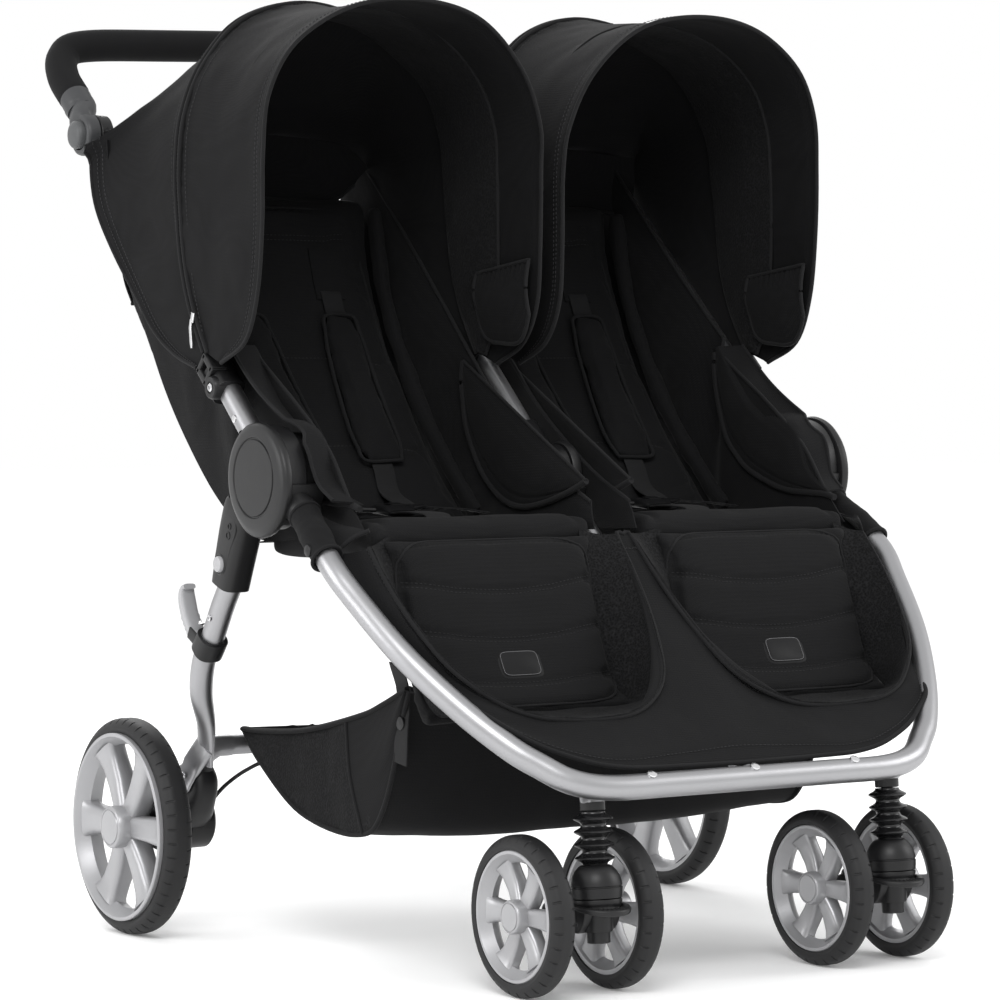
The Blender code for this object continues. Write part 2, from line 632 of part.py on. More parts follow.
def backrest_outline():
    """(y, z): a concave front face, and the fuller fabric shell behind it."""
    front = [(BIGHT_Y + 0.004, BIGHT_Z + 0.004), (0.0600, 0.4850), (0.1180, 0.5450), (0.1700, 0.6150),
             (0.2150, 0.7000), (0.2420, 0.8020)]
    back = [(0.2700, 0.8060), (0.3350, 0.7860), (0.3500, 0.7400), (0.3215, 0.6740), (0.2515, 0.5800),
            (0.1825, 0.5240), (0.0895, 0.4510), (0.0400, 0.4300)]
    return front + back


def build_backrests():
    for name, side in SIDES:
        low, high = sorted((side * SEAT_INNER_X, side * SEAT_OUTER_X))
        pivot = (side * SEAT_MIDDLE_X, BIGHT_Y + 0.012, BIGHT_Z)
        solid(f"backrest_{name}", slab(backrest_outline(), low, high, 0.012), BLACK_FABRIC, pivot)


# --- canopies -----------------------------------------------------------------------------------------

# Each edge runs from the outer foot over the top to the inner foot, as (x, y, z) of the right-hand canopy.
OUT, INN = CANOPY_OUTER_X, CANOPY_INNER_X
FRONT_EDGE = ((OUT, 0.006, 0.624), (OUT, -0.045, 0.645), (OUT, -0.0680, 0.690), (OUT, -0.0780, 0.760),
              (OUT, -0.0800, 0.830), (0.347, -0.083, 0.890), (0.318, -0.089, 0.942), (0.256, -0.096, 0.980),
              (0.180, -0.0990, 0.9905), (0.104, -0.0965, 0.975), (0.048, -0.0900, 0.927),
              (0.0200, -0.0840, 0.870), (INN, -0.0780, 0.820), (INN, -0.0760, 0.740),
              (INN, -0.0700, 0.680), (INN, -0.045, 0.640), (INN, 0.004, 0.620))
RIB_EDGE = ((OUT, 0.048, 0.646), (OUT, 0.074, 0.682), (OUT, 0.0900, 0.724), (OUT, 0.0985, 0.775),
            (0.352, 0.1035, 0.825), (0.344, 0.1055, 0.880), (0.318, 0.1090, 0.934), (0.262, 0.1240, 0.984),
            (0.180, 0.1335, 1.0050), (0.104, 0.1260, 0.985), (0.047, 0.1110, 0.935),
            (0.0210, 0.1055, 0.880), (INN, 0.1035, 0.825), (INN, 0.0985, 0.775), (INN, 0.0900, 0.724),
            (INN, 0.074, 0.682), (INN, 0.048, 0.646))
REAR_EDGE = ((OUT, 0.0625, 0.612), (OUT, 0.1100, 0.626), (OUT, 0.1550, 0.650), (OUT, 0.1945, 0.686),
             (OUT, 0.2525, 0.741), (0.3550, 0.2880, 0.790), (0.3575, 0.2940, 0.836), (0.3550, 0.2900, 0.858),
             (0.180, 0.3050, 0.868), (0.045, 0.2850, 0.858), (0.0190, 0.2800, 0.828),
             (INN, 0.2740, 0.786), (INN, 0.2525, 0.741), (INN, 0.1945, 0.686), (INN, 0.1550, 0.650),
             (INN, 0.1100, 0.626), (INN, 0.0625, 0.612))
BOW_GAP = 0.0055             # between a fabric panel's edge and the bow's middle, along Y


def fabric_panel(first, last, rows):
    """A thin curved panel between two edges of equally many points, thickened towards the seat."""
    bm = bmesh.new()
    lines = []
    for i in range(rows + 1):
        t = i / rows
        lines.append([bm.verts.new(a.lerp(b, t)) for a, b in zip(first, last)])
    for a, b in zip(lines, lines[1:]):
        for k in range(len(a) - 1):
            bm.faces.new((a[k], a[k + 1], b[k + 1], b[k]))
    bmesh.ops.recalc_face_normals(bm, faces=bm.faces)
    bm.normal_update()
    top = max(bm.faces, key=lambda face: face.calc_center_median().z)
    if top.normal.z < 0:
        bmesh.ops.reverse_faces(bm, faces=bm.faces)
    bmesh.ops.solidify(bm, geom=bm.faces, thickness=FABRIC)
    return bm


def build_canopies():
    for name, side in SIDES:
        edges = []
        for points in (FRONT_EDGE, RIB_EDGE, REAR_EDGE):
            edges.append(curve_through(mirrored(points, side), 1))
        front, rib, rear = edges
        ahead = [p + Vector((0, -BOW_GAP, 0)) for p in rib]
        behind = [p + Vector((0, BOW_GAP, 0)) for p in rib]
        axis = (side * SEAT_MIDDLE_X, CANOPY_PIVOT_Y, CANOPY_PIVOT_Z)
        solid(f"canopy_front_{name}", fabric_panel(ahead, front, 4), BLACK_FABRIC, axis)
        solid(f"canopy_rear_{name}", fabric_panel(rear, behind, 4), BLACK_FABRIC, HUB_AXIS)
        middle = Vector((side * SEAT_MIDDLE_X, 0, 0))
        inward = []
        for p in rib:
            inward.append(p + (Vector((middle.x, p.y, 0.80)) - p).normalized() * 0.0015)
        bow = round_tube(inward, BOW_RADIUS, (0, 1, 0), 6)
        solid(f"canopy_bow_{name}", bow, BLACK_PLASTIC, axis)


# --- rear legs ----------------------------------------------------------------------------------------

CASTING_ROUTE = ((0.331, 0.0020, 0.4640), (0.331, 0.0180, 0.4250), (0.331, 0.0330, 0.3850))
LEG_ROUTE = ((0.331, 0.0335, 0.3840), (0.331, 0.0500, 0.3620), (0.331, 0.0715, 0.3290),
             (0.3300, 0.0930, 0.3030), (0.3240, 0.1110, 0.2680), (0.3100, 0.1260, 0.2300),
             (0.3030, 0.1420, 0.1900))
BUTTON_AT = (0.0250, 0.4080)            # (y, z) of the fold safety button on the left casting
BUTTON_RADIUS = 0.0085
HOUSING_ROUTE = ((0.303, 0.1515, 0.1750), (0.303, 0.1680, 0.1560), (0.303, 0.1900, 0.1300),
                 (0.303, 0.2080, 0.1040))
HOUSING_SIZES = [(0.018, 0.0170), (0.026, 0.0250), (0.0320, 0.0320), (0.030, 0.0260)]


def build_legs():
    for name, side in SIDES:
        eye = turned(((LEG_KNUCKLE_X[0], LEG_KNUCKLE_RADIUS), (LEG_KNUCKLE_X[1], LEG_KNUCKLE_RADIUS)),
                     (0, HUB_Y, HUB_Z), (side, 0, 0), 20)
        middle = sum(LEG_KNUCKLE_X) / 2
        arm = sweep(mirrored(((middle, HUB_Y + 0.01, HUB_Z - 0.006), (middle, 0.010, 0.452)), side),
                    ((LEG_KNUCKLE_X[1] - LEG_KNUCKLE_X[0]) / 2 * 0.98, 0.019), (1, 0, 0), 8, 5)
        body = sweep(mirrored(CASTING_ROUTE, side), [(0.0165, 0.0235), (0.0170, 0.0225), (0.0168, 0.0185)],
                     (1, 0, 0), 12, 4)
        casting = union(eye, arm, body)
        if side == LEFT:
            pocket = turned(((0.0, BUTTON_RADIUS + 0.001), (0.02, BUTTON_RADIUS + 0.001)),
                            (-0.3400, *BUTTON_AT), (LEFT, 0, 0), 16)
            casting = combine(casting, pocket, "DIFFERENCE")
        solid(f"leg_casting_{name}", casting, BLACK_PLASTIC, HUB_AXIS)
        route = curve_through(mirrored(LEG_ROUTE, side), 3)
        start, end = route[0], route[-1]
        route[0] = start + (route[1] - start).normalized() * 0.0035
        sizes = []
        for k in range(len(route)):
            flat = max(0.0, (k / (len(route) - 1) - 0.6) / 0.4)
            sizes.append((TUBE_RADIUS * (1 - 0.35 * flat), TUBE_RADIUS * (1 + 0.15 * flat)))
        solid(f"rear_leg_{name}", sweep(route, sizes, (1, 0, 0)), SILVER_TUBE, HUB_AXIS)
        shell = sweep(mirrored(HOUSING_ROUTE, side), HOUSING_SIZES, (1, 0, 0), 14, 3)
        tip = REAR_WHEEL_X + REAR_RIM_X[1] - 0.002
        spindle = turned(((0.320, REAR_AXLE_RADIUS), (tip, REAR_AXLE_RADIUS)),
                         (0, REAR_AXLE_Y, REAR_WHEEL_RADIUS), (side, 0, 0), 12)
        cut = sweep(route[-7:] + [end + (end - route[-2]) * 4],
                    [(s[0] + 0.0008, s[1] + 0.0008) for s in sizes[-7:] + sizes[-1:]], (1, 0, 0))
        housing = combine(union(shell, spindle), cut, "DIFFERENCE")
        solid(f"axle_housing_{name}", housing, BLACK_PLASTIC, HUB_AXIS)
    button = turned(((0.0, BUTTON_RADIUS), (0.0070, BUTTON_RADIUS), (0.0085, BUTTON_RADIUS - 0.002)),
                    (-0.3447, *BUTTON_AT), (LEFT, 0, 0), 16)
    solid("fold_safety_button", button, GREY_PLASTIC, (-0.3447, *BUTTON_AT))
    reach = 0.2925
    solid("rear_crossbar", round_tube(((-reach, CROSSBAR_Y, CROSSBAR_Z), (reach, CROSSBAR_Y, CROSSBAR_Z)),
                                      0.0110, (0, 0, 1), 12), SILVER_TUBE, HUB_AXIS)


CABLE_RADIUS = 0.0022
CABLE_ROUTE = ((0.2690, 0.1840, 0.1450), (0.2600, 0.1720, 0.1600), (0.2440, 0.1560, 0.1760),
               (0.2200, 0.1440, 0.1860), (0.1500, 0.1400, 0.1880), (0.0, 0.1400, 0.1880))


def build_brake():
    """The pedal on the right-hand axle housing, and the cable to the left-hand one."""
    half = list(CABLE_ROUTE)
    route = curve_through(mirrored(half, LEFT) + mirrored(half[-2::-1], RIGHT), 3)
    line = bpy.data.curves.new("brake_cable", "CURVE")
    line.dimensions = "3D"
    line.bevel_depth = CABLE_RADIUS
    line.bevel_resolution = 1
    line.use_fill_caps = True
    spline = line.splines.new("POLY")
    spline.points.add(len(route) - 1)
    for point, place in zip(spline.points, route):
        point.co = (*place, 1)
    cable = bpy.data.objects.new("brake_cable", line)
    line.materials.append(material("brake_cable", BLACK_PLASTIC))
    bpy.context.collection.objects.link(cable)
    hinge = Vector((0.303, 0.2350, 0.1240))
    boss = round_tube((hinge - Vector((0.020, 0, 0)), hinge + Vector((0.020, 0, 0))), 0.0055, (0, 0, 1), 10)
    tread = sweep((hinge, hinge + Vector((0, 0.022, 0.006)), hinge + Vector((0, 0.042, 0.004))),
                  [(0.019, 0.0040), (0.022, 0.0040), (0.021, 0.0030)], (1, 0, 0), 12, 4)
    solid("brake_pedal", union(boss, tread), GREY_PLASTIC, hinge)


CLAMP_RADIUS = 0.0163                   # outside of the clamp on the leg tube
HOOK_FOOT = (-0.3305, 0.1010, 0.3330)    # the hook's pivot, just behind the clamp
HOOK_BARREL_RADIUS = 0.0062


def build_transport_hook():
    """A clamp on the left leg, and the hook behind it that holds the folded stroller shut."""
    leg = curve_through(mirrored(LEG_ROUTE, LEFT), 3)
    clear = round_tube(leg, TUBE_RADIUS + 2 * GAP, (1, 0, 0))
    collar = round_tube(leg[6:9], CLAMP_RADIUS, (1, 0, 0), 14)
    solid("hook_clamp", combine(collar, clear, "DIFFERENCE"), BLACK_PLASTIC, HUB_AXIS)
    foot = Vector(HOOK_FOOT)
    half = Vector((0.0095, 0, 0))
    barrel = round_tube((foot - half, foot + half), HOOK_BARREL_RADIUS, (0, 0, 1), 12)
    route = [foot + Vector((0, y, z)) for y, z in ((0.0010, 0.0005), (0.0125, 0.0047), (0.0225, 0.0137),
                                                  (0.0290, 0.0272), (0.0290, 0.0382), (0.0230, 0.0432))]
    sizes = [(0.0095, 0.0055)] * 4 + [(0.0088, 0.0048)] * 4 + [(0.0075, 0.0032)] * 3
    claw = sweep(curve_through(route, 2), sizes, (1, 0, 0), 10, 3)
    solid("transport_hook", union(barrel, claw), GREY_PLASTIC, foot)


def build():
    clear_scene()
    build_front_tube()
    build_hubs()
    build_seats()
    build_apron()
    build_basket()
    build_caster_posts()
    build_caster_collars()
    build_yokes()
    build_wheels()
    build_handle_tubes()
    build_handlebar()
    build_backrests()
    build_canopies()
    build_legs()
    build_brake()
    build_transport_hook()


build()
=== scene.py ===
"""The looks of the side-by-side double stroller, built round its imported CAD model.

Metal, plastic and rubber pieces are swept and turned at a fine resolution; the fabric is lofted from the
edges that the CAD solids have, then padded, seamed and stitched. Metres, +Z up, the front towards -Y.
"""

import json
import math

import bmesh
import bpy
from mathutils import Matrix, Quaternion, Vector, noise
from mathutils.bvhtree import BVHTree
from mathutils.kdtree import KDTree

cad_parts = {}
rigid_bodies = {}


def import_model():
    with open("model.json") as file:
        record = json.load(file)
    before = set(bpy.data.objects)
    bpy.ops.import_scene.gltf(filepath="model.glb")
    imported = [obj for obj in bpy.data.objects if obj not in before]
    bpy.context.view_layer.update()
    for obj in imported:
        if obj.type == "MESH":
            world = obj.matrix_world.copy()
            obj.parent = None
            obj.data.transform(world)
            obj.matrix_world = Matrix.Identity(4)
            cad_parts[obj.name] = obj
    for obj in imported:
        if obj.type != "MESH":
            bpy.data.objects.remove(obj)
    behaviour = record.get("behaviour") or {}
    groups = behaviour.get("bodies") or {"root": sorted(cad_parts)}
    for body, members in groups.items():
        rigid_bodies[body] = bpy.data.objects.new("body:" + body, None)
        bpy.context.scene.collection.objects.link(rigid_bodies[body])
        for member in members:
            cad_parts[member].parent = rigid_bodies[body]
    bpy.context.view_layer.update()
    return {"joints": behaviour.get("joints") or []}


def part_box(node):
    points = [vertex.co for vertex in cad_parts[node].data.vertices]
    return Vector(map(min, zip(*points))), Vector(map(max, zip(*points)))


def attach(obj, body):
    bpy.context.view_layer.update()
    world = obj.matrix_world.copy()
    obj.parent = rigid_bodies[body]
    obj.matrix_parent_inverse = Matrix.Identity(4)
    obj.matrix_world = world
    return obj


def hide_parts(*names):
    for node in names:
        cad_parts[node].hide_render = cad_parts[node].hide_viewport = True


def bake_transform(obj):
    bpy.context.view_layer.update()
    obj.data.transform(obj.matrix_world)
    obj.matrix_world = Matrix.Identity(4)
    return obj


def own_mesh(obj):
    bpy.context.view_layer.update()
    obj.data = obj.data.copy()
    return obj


for startup_object in list(bpy.data.objects):
    bpy.data.objects.remove(startup_object, do_unlink=True)

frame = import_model()
JOINTS = {joint["name"]: joint for joint in frame["joints"]}
LEFT, RIGHT = -1, 1
SIDES = (("left", LEFT), ("right", RIGHT))
TAU = 2 * math.pi


def joint_place(name):
    return Vector(JOINTS[name]["pos_m"])


def lerp(a, b, t):
    return a + (b - a) * t


def smooth(t):
    t = max(0.0, min(1.0, t))
    return t * t * (3 - 2 * t)


# --- materials ---------------------------------------------------------------------------------------


class Look:
    """A Principled material and short ways to add its textures, which all use object coordinates."""

    def __init__(self, name, colour, roughness, metallic=0.0, **constants):
        self.material = bpy.data.materials.new(name)
        self.material.use_nodes = True
        self.tree = self.material.node_tree
        self.shader = self.tree.nodes["Principled BSDF"]
        self.colour, self.roughness = colour, roughness
        self.shader.inputs["Base Color"].default_value = (*colour, 1)
        self.shader.inputs["Roughness"].default_value = roughness
        self.shader.inputs["Metallic"].default_value = metallic
        for socket, value in constants.items():
            self.shader.inputs[socket.replace("_", " ")].default_value = value
        self.place = self.tree.nodes.new("ShaderNodeTexCoord").outputs["Object"]

    def add(self, kind, links=(), **settings):
        node = self.tree.nodes.new(kind)
        for key, value in settings.items():
            if key in node.inputs:
                node.inputs[key].default_value = value
            else:
                setattr(node, key, value)
        for socket, source in links:
            self.tree.links.new(source, node.inputs[socket])
        return node

    def noise(self, scale, detail=3.0, roughness=0.55):
        made = self.add("ShaderNodeTexNoise", [("Vector", self.place)], Detail=detail, Roughness=roughness)
        made.inputs["Scale"].default_value = scale
        return made.outputs["Fac"]

    def bands(self, scale, direction, distortion=0.0, kind="BANDS"):
        made = self.add("ShaderNodeTexWave", [("Vector", self.place)], bands_direction=direction,
                        wave_type=kind)
        made.inputs["Scale"].default_value = scale
        made.inputs["Distortion"].default_value = distortion
        return made.outputs["Fac"]

    def cells(self, scale, feature="F1"):
        made = self.add("ShaderNodeTexVoronoi", [("Vector", self.place)], feature=feature)
        made.inputs["Scale"].default_value = scale
        return made.outputs["Distance"]

    def maths(self, operation, first, second):
        node = self.tree.nodes.new("ShaderNodeMath")
        node.operation = operation
        for socket, value in zip(node.inputs, (first, second)):
            if isinstance(value, (int, float)):
                socket.default_value = value
            else:
                self.tree.links.new(value, socket)
        return node.outputs[0]

    def span(self, source, low, high):
        """source, from 0 to 1, mapped to a number from low to high."""
        made = self.add("ShaderNodeMapRange", [("Value", source)])
        made.inputs["To Min"].default_value = low
        made.inputs["To Max"].default_value = high
        return made.outputs["Result"]

    def tint(self, source, low, high):
        """The base colour varies with source, from low to high times its own."""
        ramp = self.add("ShaderNodeValToRGB", [("Fac", source)])
        ramp.color_ramp.elements[0].color = (*[c * low for c in self.colour], 1)
        ramp.color_ramp.elements[1].color = (*[c * high for c in self.colour], 1)
        self.tree.links.new(ramp.outputs["Color"], self.shader.inputs["Base Color"])

    def vary_roughness(self, source, spread):
        result = self.span(source, self.roughness - spread, self.roughness + spread)
        self.tree.links.new(result, self.shader.inputs["Roughness"])

    def bump(self, source, strength, depth):
        made = self.add("ShaderNodeBump", [("Height", source)], Strength=strength, Distance=depth)
        self.tree.links.new(made.outputs["Normal"], self.shader.inputs["Normal"])


def metal(name, colour, roughness, grain=240.0):
    look = Look(name, colour, roughness, 1.0)
    fine = look.noise(grain, 4)
    look.tint(look.noise(9), 0.94, 1.04)
    look.vary_roughness(fine, 0.07)
    look.bump(look.noise(1400, 2), 0.12, 0.0002)
    return look.material


def moulded(name, colour, roughness, metallic=0.0, texture=0.25, **constants):
    look = Look(name, colour, roughness, metallic, **constants)
    look.tint(look.noise(14), 0.9, 1.12)
    look.vary_roughness(look.noise(60, 4), 0.06)
    look.bump(look.noise(1800, 2), texture, 0.0002)
    return look.material


def woven(name, colour, thread, depth=0.0003, strength=0.45, **constants):
    """A plain weave: threads of this many bands to the metre, crossing in all three directions."""
    look = Look(name, colour, 0.88, **constants)
    across = look.maths("MULTIPLY", look.bands(thread, "X", 0.6), look.bands(thread, "Z", 0.6))
    along = look.maths("MULTIPLY", look.bands(thread, "Y", 0.6), look.bands(thread, "DIAGONAL", 0.6))
    weave = look.maths("ADD", across, along)
    soft = look.noise(14, 5)
    look.tint(look.maths("ADD", look.maths("MULTIPLY", weave, 0.35), look.maths("MULTIPLY", soft, 0.65)),
              0.55, 1.5)
    look.vary_roughness(soft, 0.06)
    look.bump(look.maths("ADD", weave, look.maths("MULTIPLY", look.noise(420, 3), 0.8)), strength, depth)
    return look.material


def webbing(name, colour, direction):
    """Narrow woven tape with ribs across it."""
    look = Look(name, colour, 0.72, Specular_IOR_Level=0.2, Sheen_Weight=0.03)
    ribs = look.bands(330, direction)
    look.tint(ribs, 0.6, 1.5)
    look.bump(ribs, 0.6, 0.0005)
    return look.material


def netting(name, colour):
    """Knitted mesh, kept opaque: painted shade makes the small round holes between the yarns nearly black,
    in place of seeing through them, and the same holes give the bump.
    """
    look = Look(name, colour, 0.85, Specular_IOR_Level=0.12, Sheen_Weight=0.02)
    holes_and_painted_shade = look.cells(430)
    # Painted shade: the hole centres drop to a twentieth of the yarn colour and the yarns between them grow
    # lighter.
    look.tint(holes_and_painted_shade, 0.05, 1.9)
    look.bump(holes_and_painted_shade, 0.8, 0.0006)
    return look.material


FABRIC = woven("woven_fabric", (0.007, 0.007, 0.0074), 190, Specular_IOR_Level=0.12, Sheen_Weight=0.02)
CANOPY_FABRIC = woven("canopy_fabric", (0.006, 0.006, 0.0064), 230, 0.00025, Specular_IOR_Level=0.1,
                      Sheen_Weight=0.015)
BINDING = woven("binding_tape", (0.0085, 0.0085, 0.009), 300, 0.0003, Specular_IOR_Level=0.16,
                Sheen_Weight=0.03)
THREAD = moulded("stitching", (0.02, 0.02, 0.021), 0.6, Specular_IOR_Level=0.2)
WEBBING = webbing("webbing", (0.01, 0.01, 0.0105), "Z")
NET = netting("mesh_netting", (0.0068, 0.0068, 0.0072))
BADGE = moulded("rubber_badge", (0.0035, 0.0035, 0.004), 0.55, Specular_IOR_Level=0.2)
BADGE_RIM = moulded("badge_rim", (0.16, 0.16, 0.165), 0.4)
SILVER = metal("satin_silver_tube", (0.36, 0.36, 0.37), 0.4)
STEEL = metal("steel", (0.66, 0.66, 0.67), 0.25)
WHEEL_SILVER = moulded("silver_wheel_plastic", (0.34, 0.34, 0.35), 0.36, 0.45, 0.1)
BLACK_PLASTIC = moulded("black_plastic", (0.0065, 0.0065, 0.007), 0.4, Specular_IOR_Level=0.32)
HUB_PLASTIC = moulded("hub_plastic", (0.0095, 0.0095, 0.01), 0.42, Specular_IOR_Level=0.32)
GREY_PLASTIC = moulded("grey_plastic", (0.036, 0.037, 0.039), 0.46, Specular_IOR_Level=0.35)
BUTTON_PLASTIC = moulded("button_plastic", (0.062, 0.064, 0.066), 0.48, Specular_IOR_Level=0.35)
HOOK_PLASTIC = moulded("hook_plastic", (0.33, 0.33, 0.34), 0.42)
RUBBER = moulded("bellows_rubber", (0.005, 0.005, 0.0054), 0.26, texture=0.08, Specular_IOR_Level=0.45)
TYRE = moulded("tyre_rubber", (0.012, 0.012, 0.0126), 0.58, texture=0.45, Specular_IOR_Level=0.3)
FOAM = moulded("grip_foam", (0.007, 0.007, 0.0074), 0.92, texture=0.9, Specular_IOR_Level=0.15,
               Sheen_Weight=0.02)

# --- mesh helpers -------------------------------------------------------------------------------------


def piece(name, bm, look, body, stands_for=(), angle=38, bevel=0.0):
    """A finished mesh in the row frame. With no body it is finished later, by both_sides or its maker."""
    bmesh.ops.recalc_face_normals(bm, faces=bm.faces)
    mesh = bpy.data.meshes.new(name)
    bm.to_mesh(mesh)
    bm.free()
    mesh.materials.append(look)
    mesh.shade_smooth()
    mesh.set_sharp_from_angle(angle=math.radians(angle))
    obj = bpy.data.objects.new(name, mesh)
    bpy.context.collection.objects.link(obj)
    if bevel:
        edges = obj.modifiers.new("soft_edges", "BEVEL")
        edges.width = bevel
        edges.segments = 2
        edges.limit_method = "ANGLE"
        edges.angle_limit = math.radians(angle)
        edges.harden_normals = True
    if body:
        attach(obj, body)
    if stands_for:
        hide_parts(*stands_for)
    return obj


def merged(*shapes):
    """Several bmeshes as one. The others are used up."""
    result = shapes[0]
    for shape in shapes[1:]:
        mesh = bpy.data.meshes.new("part")
        shape.to_mesh(mesh)
        shape.free()
        result.from_mesh(mesh)
        bpy.data.meshes.remove(mesh)
    return result


def upright(points, x=0.0):
    """(y, z) points as places in the plane at x."""
    return [Vector((x, y, z)) for y, z in points]


def halfway(first, second):
    return [a.lerp(b, 0.5) for a, b in zip(first, second)]


def mirrored(points, side):
    """The points on the right, or their mirror images on the left."""
    return [Vector((side * x, y, z)) for x, y, z in points]


def curve_through(points, per_span=6):
    """A Catmull-Rom curve through the points."""
    given = [Vector(p) for p in points]
    ends = [2 * given[0] - given[1]] + given + [2 * given[-1] - given[-2]]
    found = []
    for i in range(len(given) - 1):
        a, b, c, d = ends[i:i + 4]
        for k in range(per_span):
            t = k / per_span
            found.append(0.5 * (2 * b + (c - a) * t + (2 * a - 5 * b + 4 * c - d) * t * t
                                + (3 * b - a - 3 * c + d) * t ** 3))
    found.append(given[-1])
    return found


def resampled(points, count):
    """The same line as count + 1 evenly spaced points."""
    lengths = [0.0]
    for a, b in zip(points, points[1:]):
        lengths.append(lengths[-1] + (b - a).length)
    found, k = [], 0
    for i in range(count + 1):
        wanted = lengths[-1] * i / count
        while k < len(points) - 2 and lengths[k + 1] < wanted:
            k += 1
        span = max(lengths[k + 1] - lengths[k], 1e-9)
        found.append(points[k].lerp(points[k + 1], min(1.0, (wanted - lengths[k]) / span)))
    return found


def section(sides, half_a, half_b, power=2.0):
    """A superellipse: power 2 is an ellipse, and a higher power is closer to a rectangle."""
    points = []
    for k in range(sides):
        angle = TAU * (k + 0.5) / sides
        c, s = math.cos(angle), math.sin(angle)
        points.append((half_a * math.copysign(abs(c) ** (2 / power), c),
                       half_b * math.copysign(abs(s) ** (2 / power), s)))
    return points


def loft(rings, closed=False, bm=None):
    """A solid through rings of equally many points: capped, or joined end to end when closed.
    With bm, it is added to that mesh."""
    bm = bm or bmesh.new()
    loops = [[bm.verts.new(p) for p in ring] for ring in rings]
    pairs = list(zip(loops, loops[1:]))
    if closed:
        pairs.append((loops[-1], loops[0]))
    for a, b in pairs:
        for k in range(len(a)):
            n = (k + 1) % len(a)
            bm.faces.new((a[k], a[n], b[n], b[k]))
    if not closed:
        bm.faces.new(loops[0][::-1])
        bm.faces.new(loops[-1])
    return bm


def zip_teeth(places, half_length, half_width, foot, top):
    """Small square teeth. Each place is (point, way along the zip, normal); foot and top are heights."""
    bm = bmesh.new()
    for point, way, normal in places:
        cross = way.cross(normal).normalized()
        loft([[point + normal * height + way * half_length * a + cross * half_width * b
               for a, b in ((1, 1), (-1, 1), (-1, -1), (1, -1))] for height in (foot, top)], bm=bm)
    return bm


def sweep(path, size, side, sides=28, power=2.0, closed=False):
    """A solid along a path. size is one (a, b) or one for each point; a lies along the side direction.
    side is one direction or one for each point."""
    path = [Vector(p) for p in path]
    sizes = size if isinstance(size, list) else [size] * len(path)
    directions = [Vector(s) for s in side] if isinstance(side, list) else [Vector(side)] * len(path)
    last = len(path) - 1
    rings = []
    for i, point in enumerate(path):
        if closed:
            tangent = (path[(i + 1) % len(path)] - path[i - 1]).normalized()
        else:
            tangent = (path[min(i + 1, last)] - path[max(i - 1, 0)]).normalized()
        first = (directions[i] - tangent * directions[i].dot(tangent)).normalized()
        second = tangent.cross(first)
        rings.append([point + first * u + second * v
                      for u, v in section(sides, sizes[i][0], sizes[i][1], power)])
    return loft(rings, closed)


def round_tube(path, radius, side, sides=28):
    return sweep(path, (radius, radius), side, sides)


def turned(stations, base, direction, sides=48):
    """A solid of revolution. Each station is (distance along the axis, radius)."""
    direction = Vector(direction).normalized()
    turn = direction.to_track_quat("Z", "Y").to_matrix()
    rings = []
    for distance, radius in stations:
        rings.append([Vector(base) + direction * distance
                      + turn @ Vector((radius * math.cos(a), radius * math.sin(a), 0))
                      for a in (TAU * k / sides for k in range(sides))])
    return loft(rings)


def ring(profile, base, direction, sides=64):
    """A closed profile of (distance along the axis, radius) turned about the axis."""
    direction = Vector(direction).normalized()
    turn = direction.to_track_quat("Z", "Y").to_matrix()
    rings = []
    for k in range(sides):
        out = turn @ Vector((math.cos(TAU * k / sides), math.sin(TAU * k / sides), 0))
        rings.append([Vector(base) + direction * d + out * r for d, r in profile])
    return loft(rings, closed=True)


def dome(base, direction, radius, height, sides=24):
    """A low round button head."""
    stations = [(-0.0005, radius)]
    for k in range(6):
        angle = k / 5 * math.pi / 2 * 0.98
        stations.append((height * math.sin(angle), radius * (0.72 + 0.28 * math.cos(angle)) if k < 3
                         else radius * math.cos(angle) * 1.05))
    return turned(stations, base, direction, sides)


def screw(base, direction, radius):
    """A round head with a hexagonal socket."""
    rings = [(0.0, radius), (radius * 0.35, radius), (radius * 0.55, radius * 0.8),
             (radius * 0.55, radius * 0.45)]
    socket = [(radius * 0.15, radius * 0.42), (radius * 0.15, radius * 0.02)]
    return turned(rings + socket, base, direction, 24)


def plate(outline, low_x, high_x, crown=0.0, steps=1):
    """An outline of (y, z) points extruded along x, drawn in at both faces by crown."""
    centre_y = sum(p[0] for p in outline) / len(outline)
    centre_z = sum(p[1] for p in outline) / len(outline)
    rings = []
    stations = [(0.0, 1.0)]
    for k in range(1, steps + 1):
        angle = math.pi / 2 * k / steps
        stations.append((crown * math.sin(angle), math.cos(angle)))
    sign = 1 if high_x > low_x else -1
    spans = [(low_x + sign * (crown - d), inset) for d, inset in reversed(stations)]
    spans += [(high_x - sign * (crown - d), inset) for d, inset in stations]
    for x, keep in spans:
        ring_points = []
        for y, z in outline:
            away = Vector((0, y - centre_y, z - centre_z))
            scale = 1 - crown * (1 - keep) / max(away.length, 1e-6)
            ring_points.append(Vector((x, centre_y + away.y * scale, centre_z + away.z * scale)))
        rings.append(ring_points)
    return loft(rings)


def arc(centre, radius, first, last, steps):
    """(y, z) points on an arc, angles in degrees from +Y towards +Z."""
    return [(centre[0] + radius * math.cos(math.radians(first + (last - first) * k / steps)),
             centre[1] + radius * math.sin(math.radians(first + (last - first) * k / steps)))
            for k in range(steps + 1)]


# --- places taken from the frame ------------------------------------------------------------------------

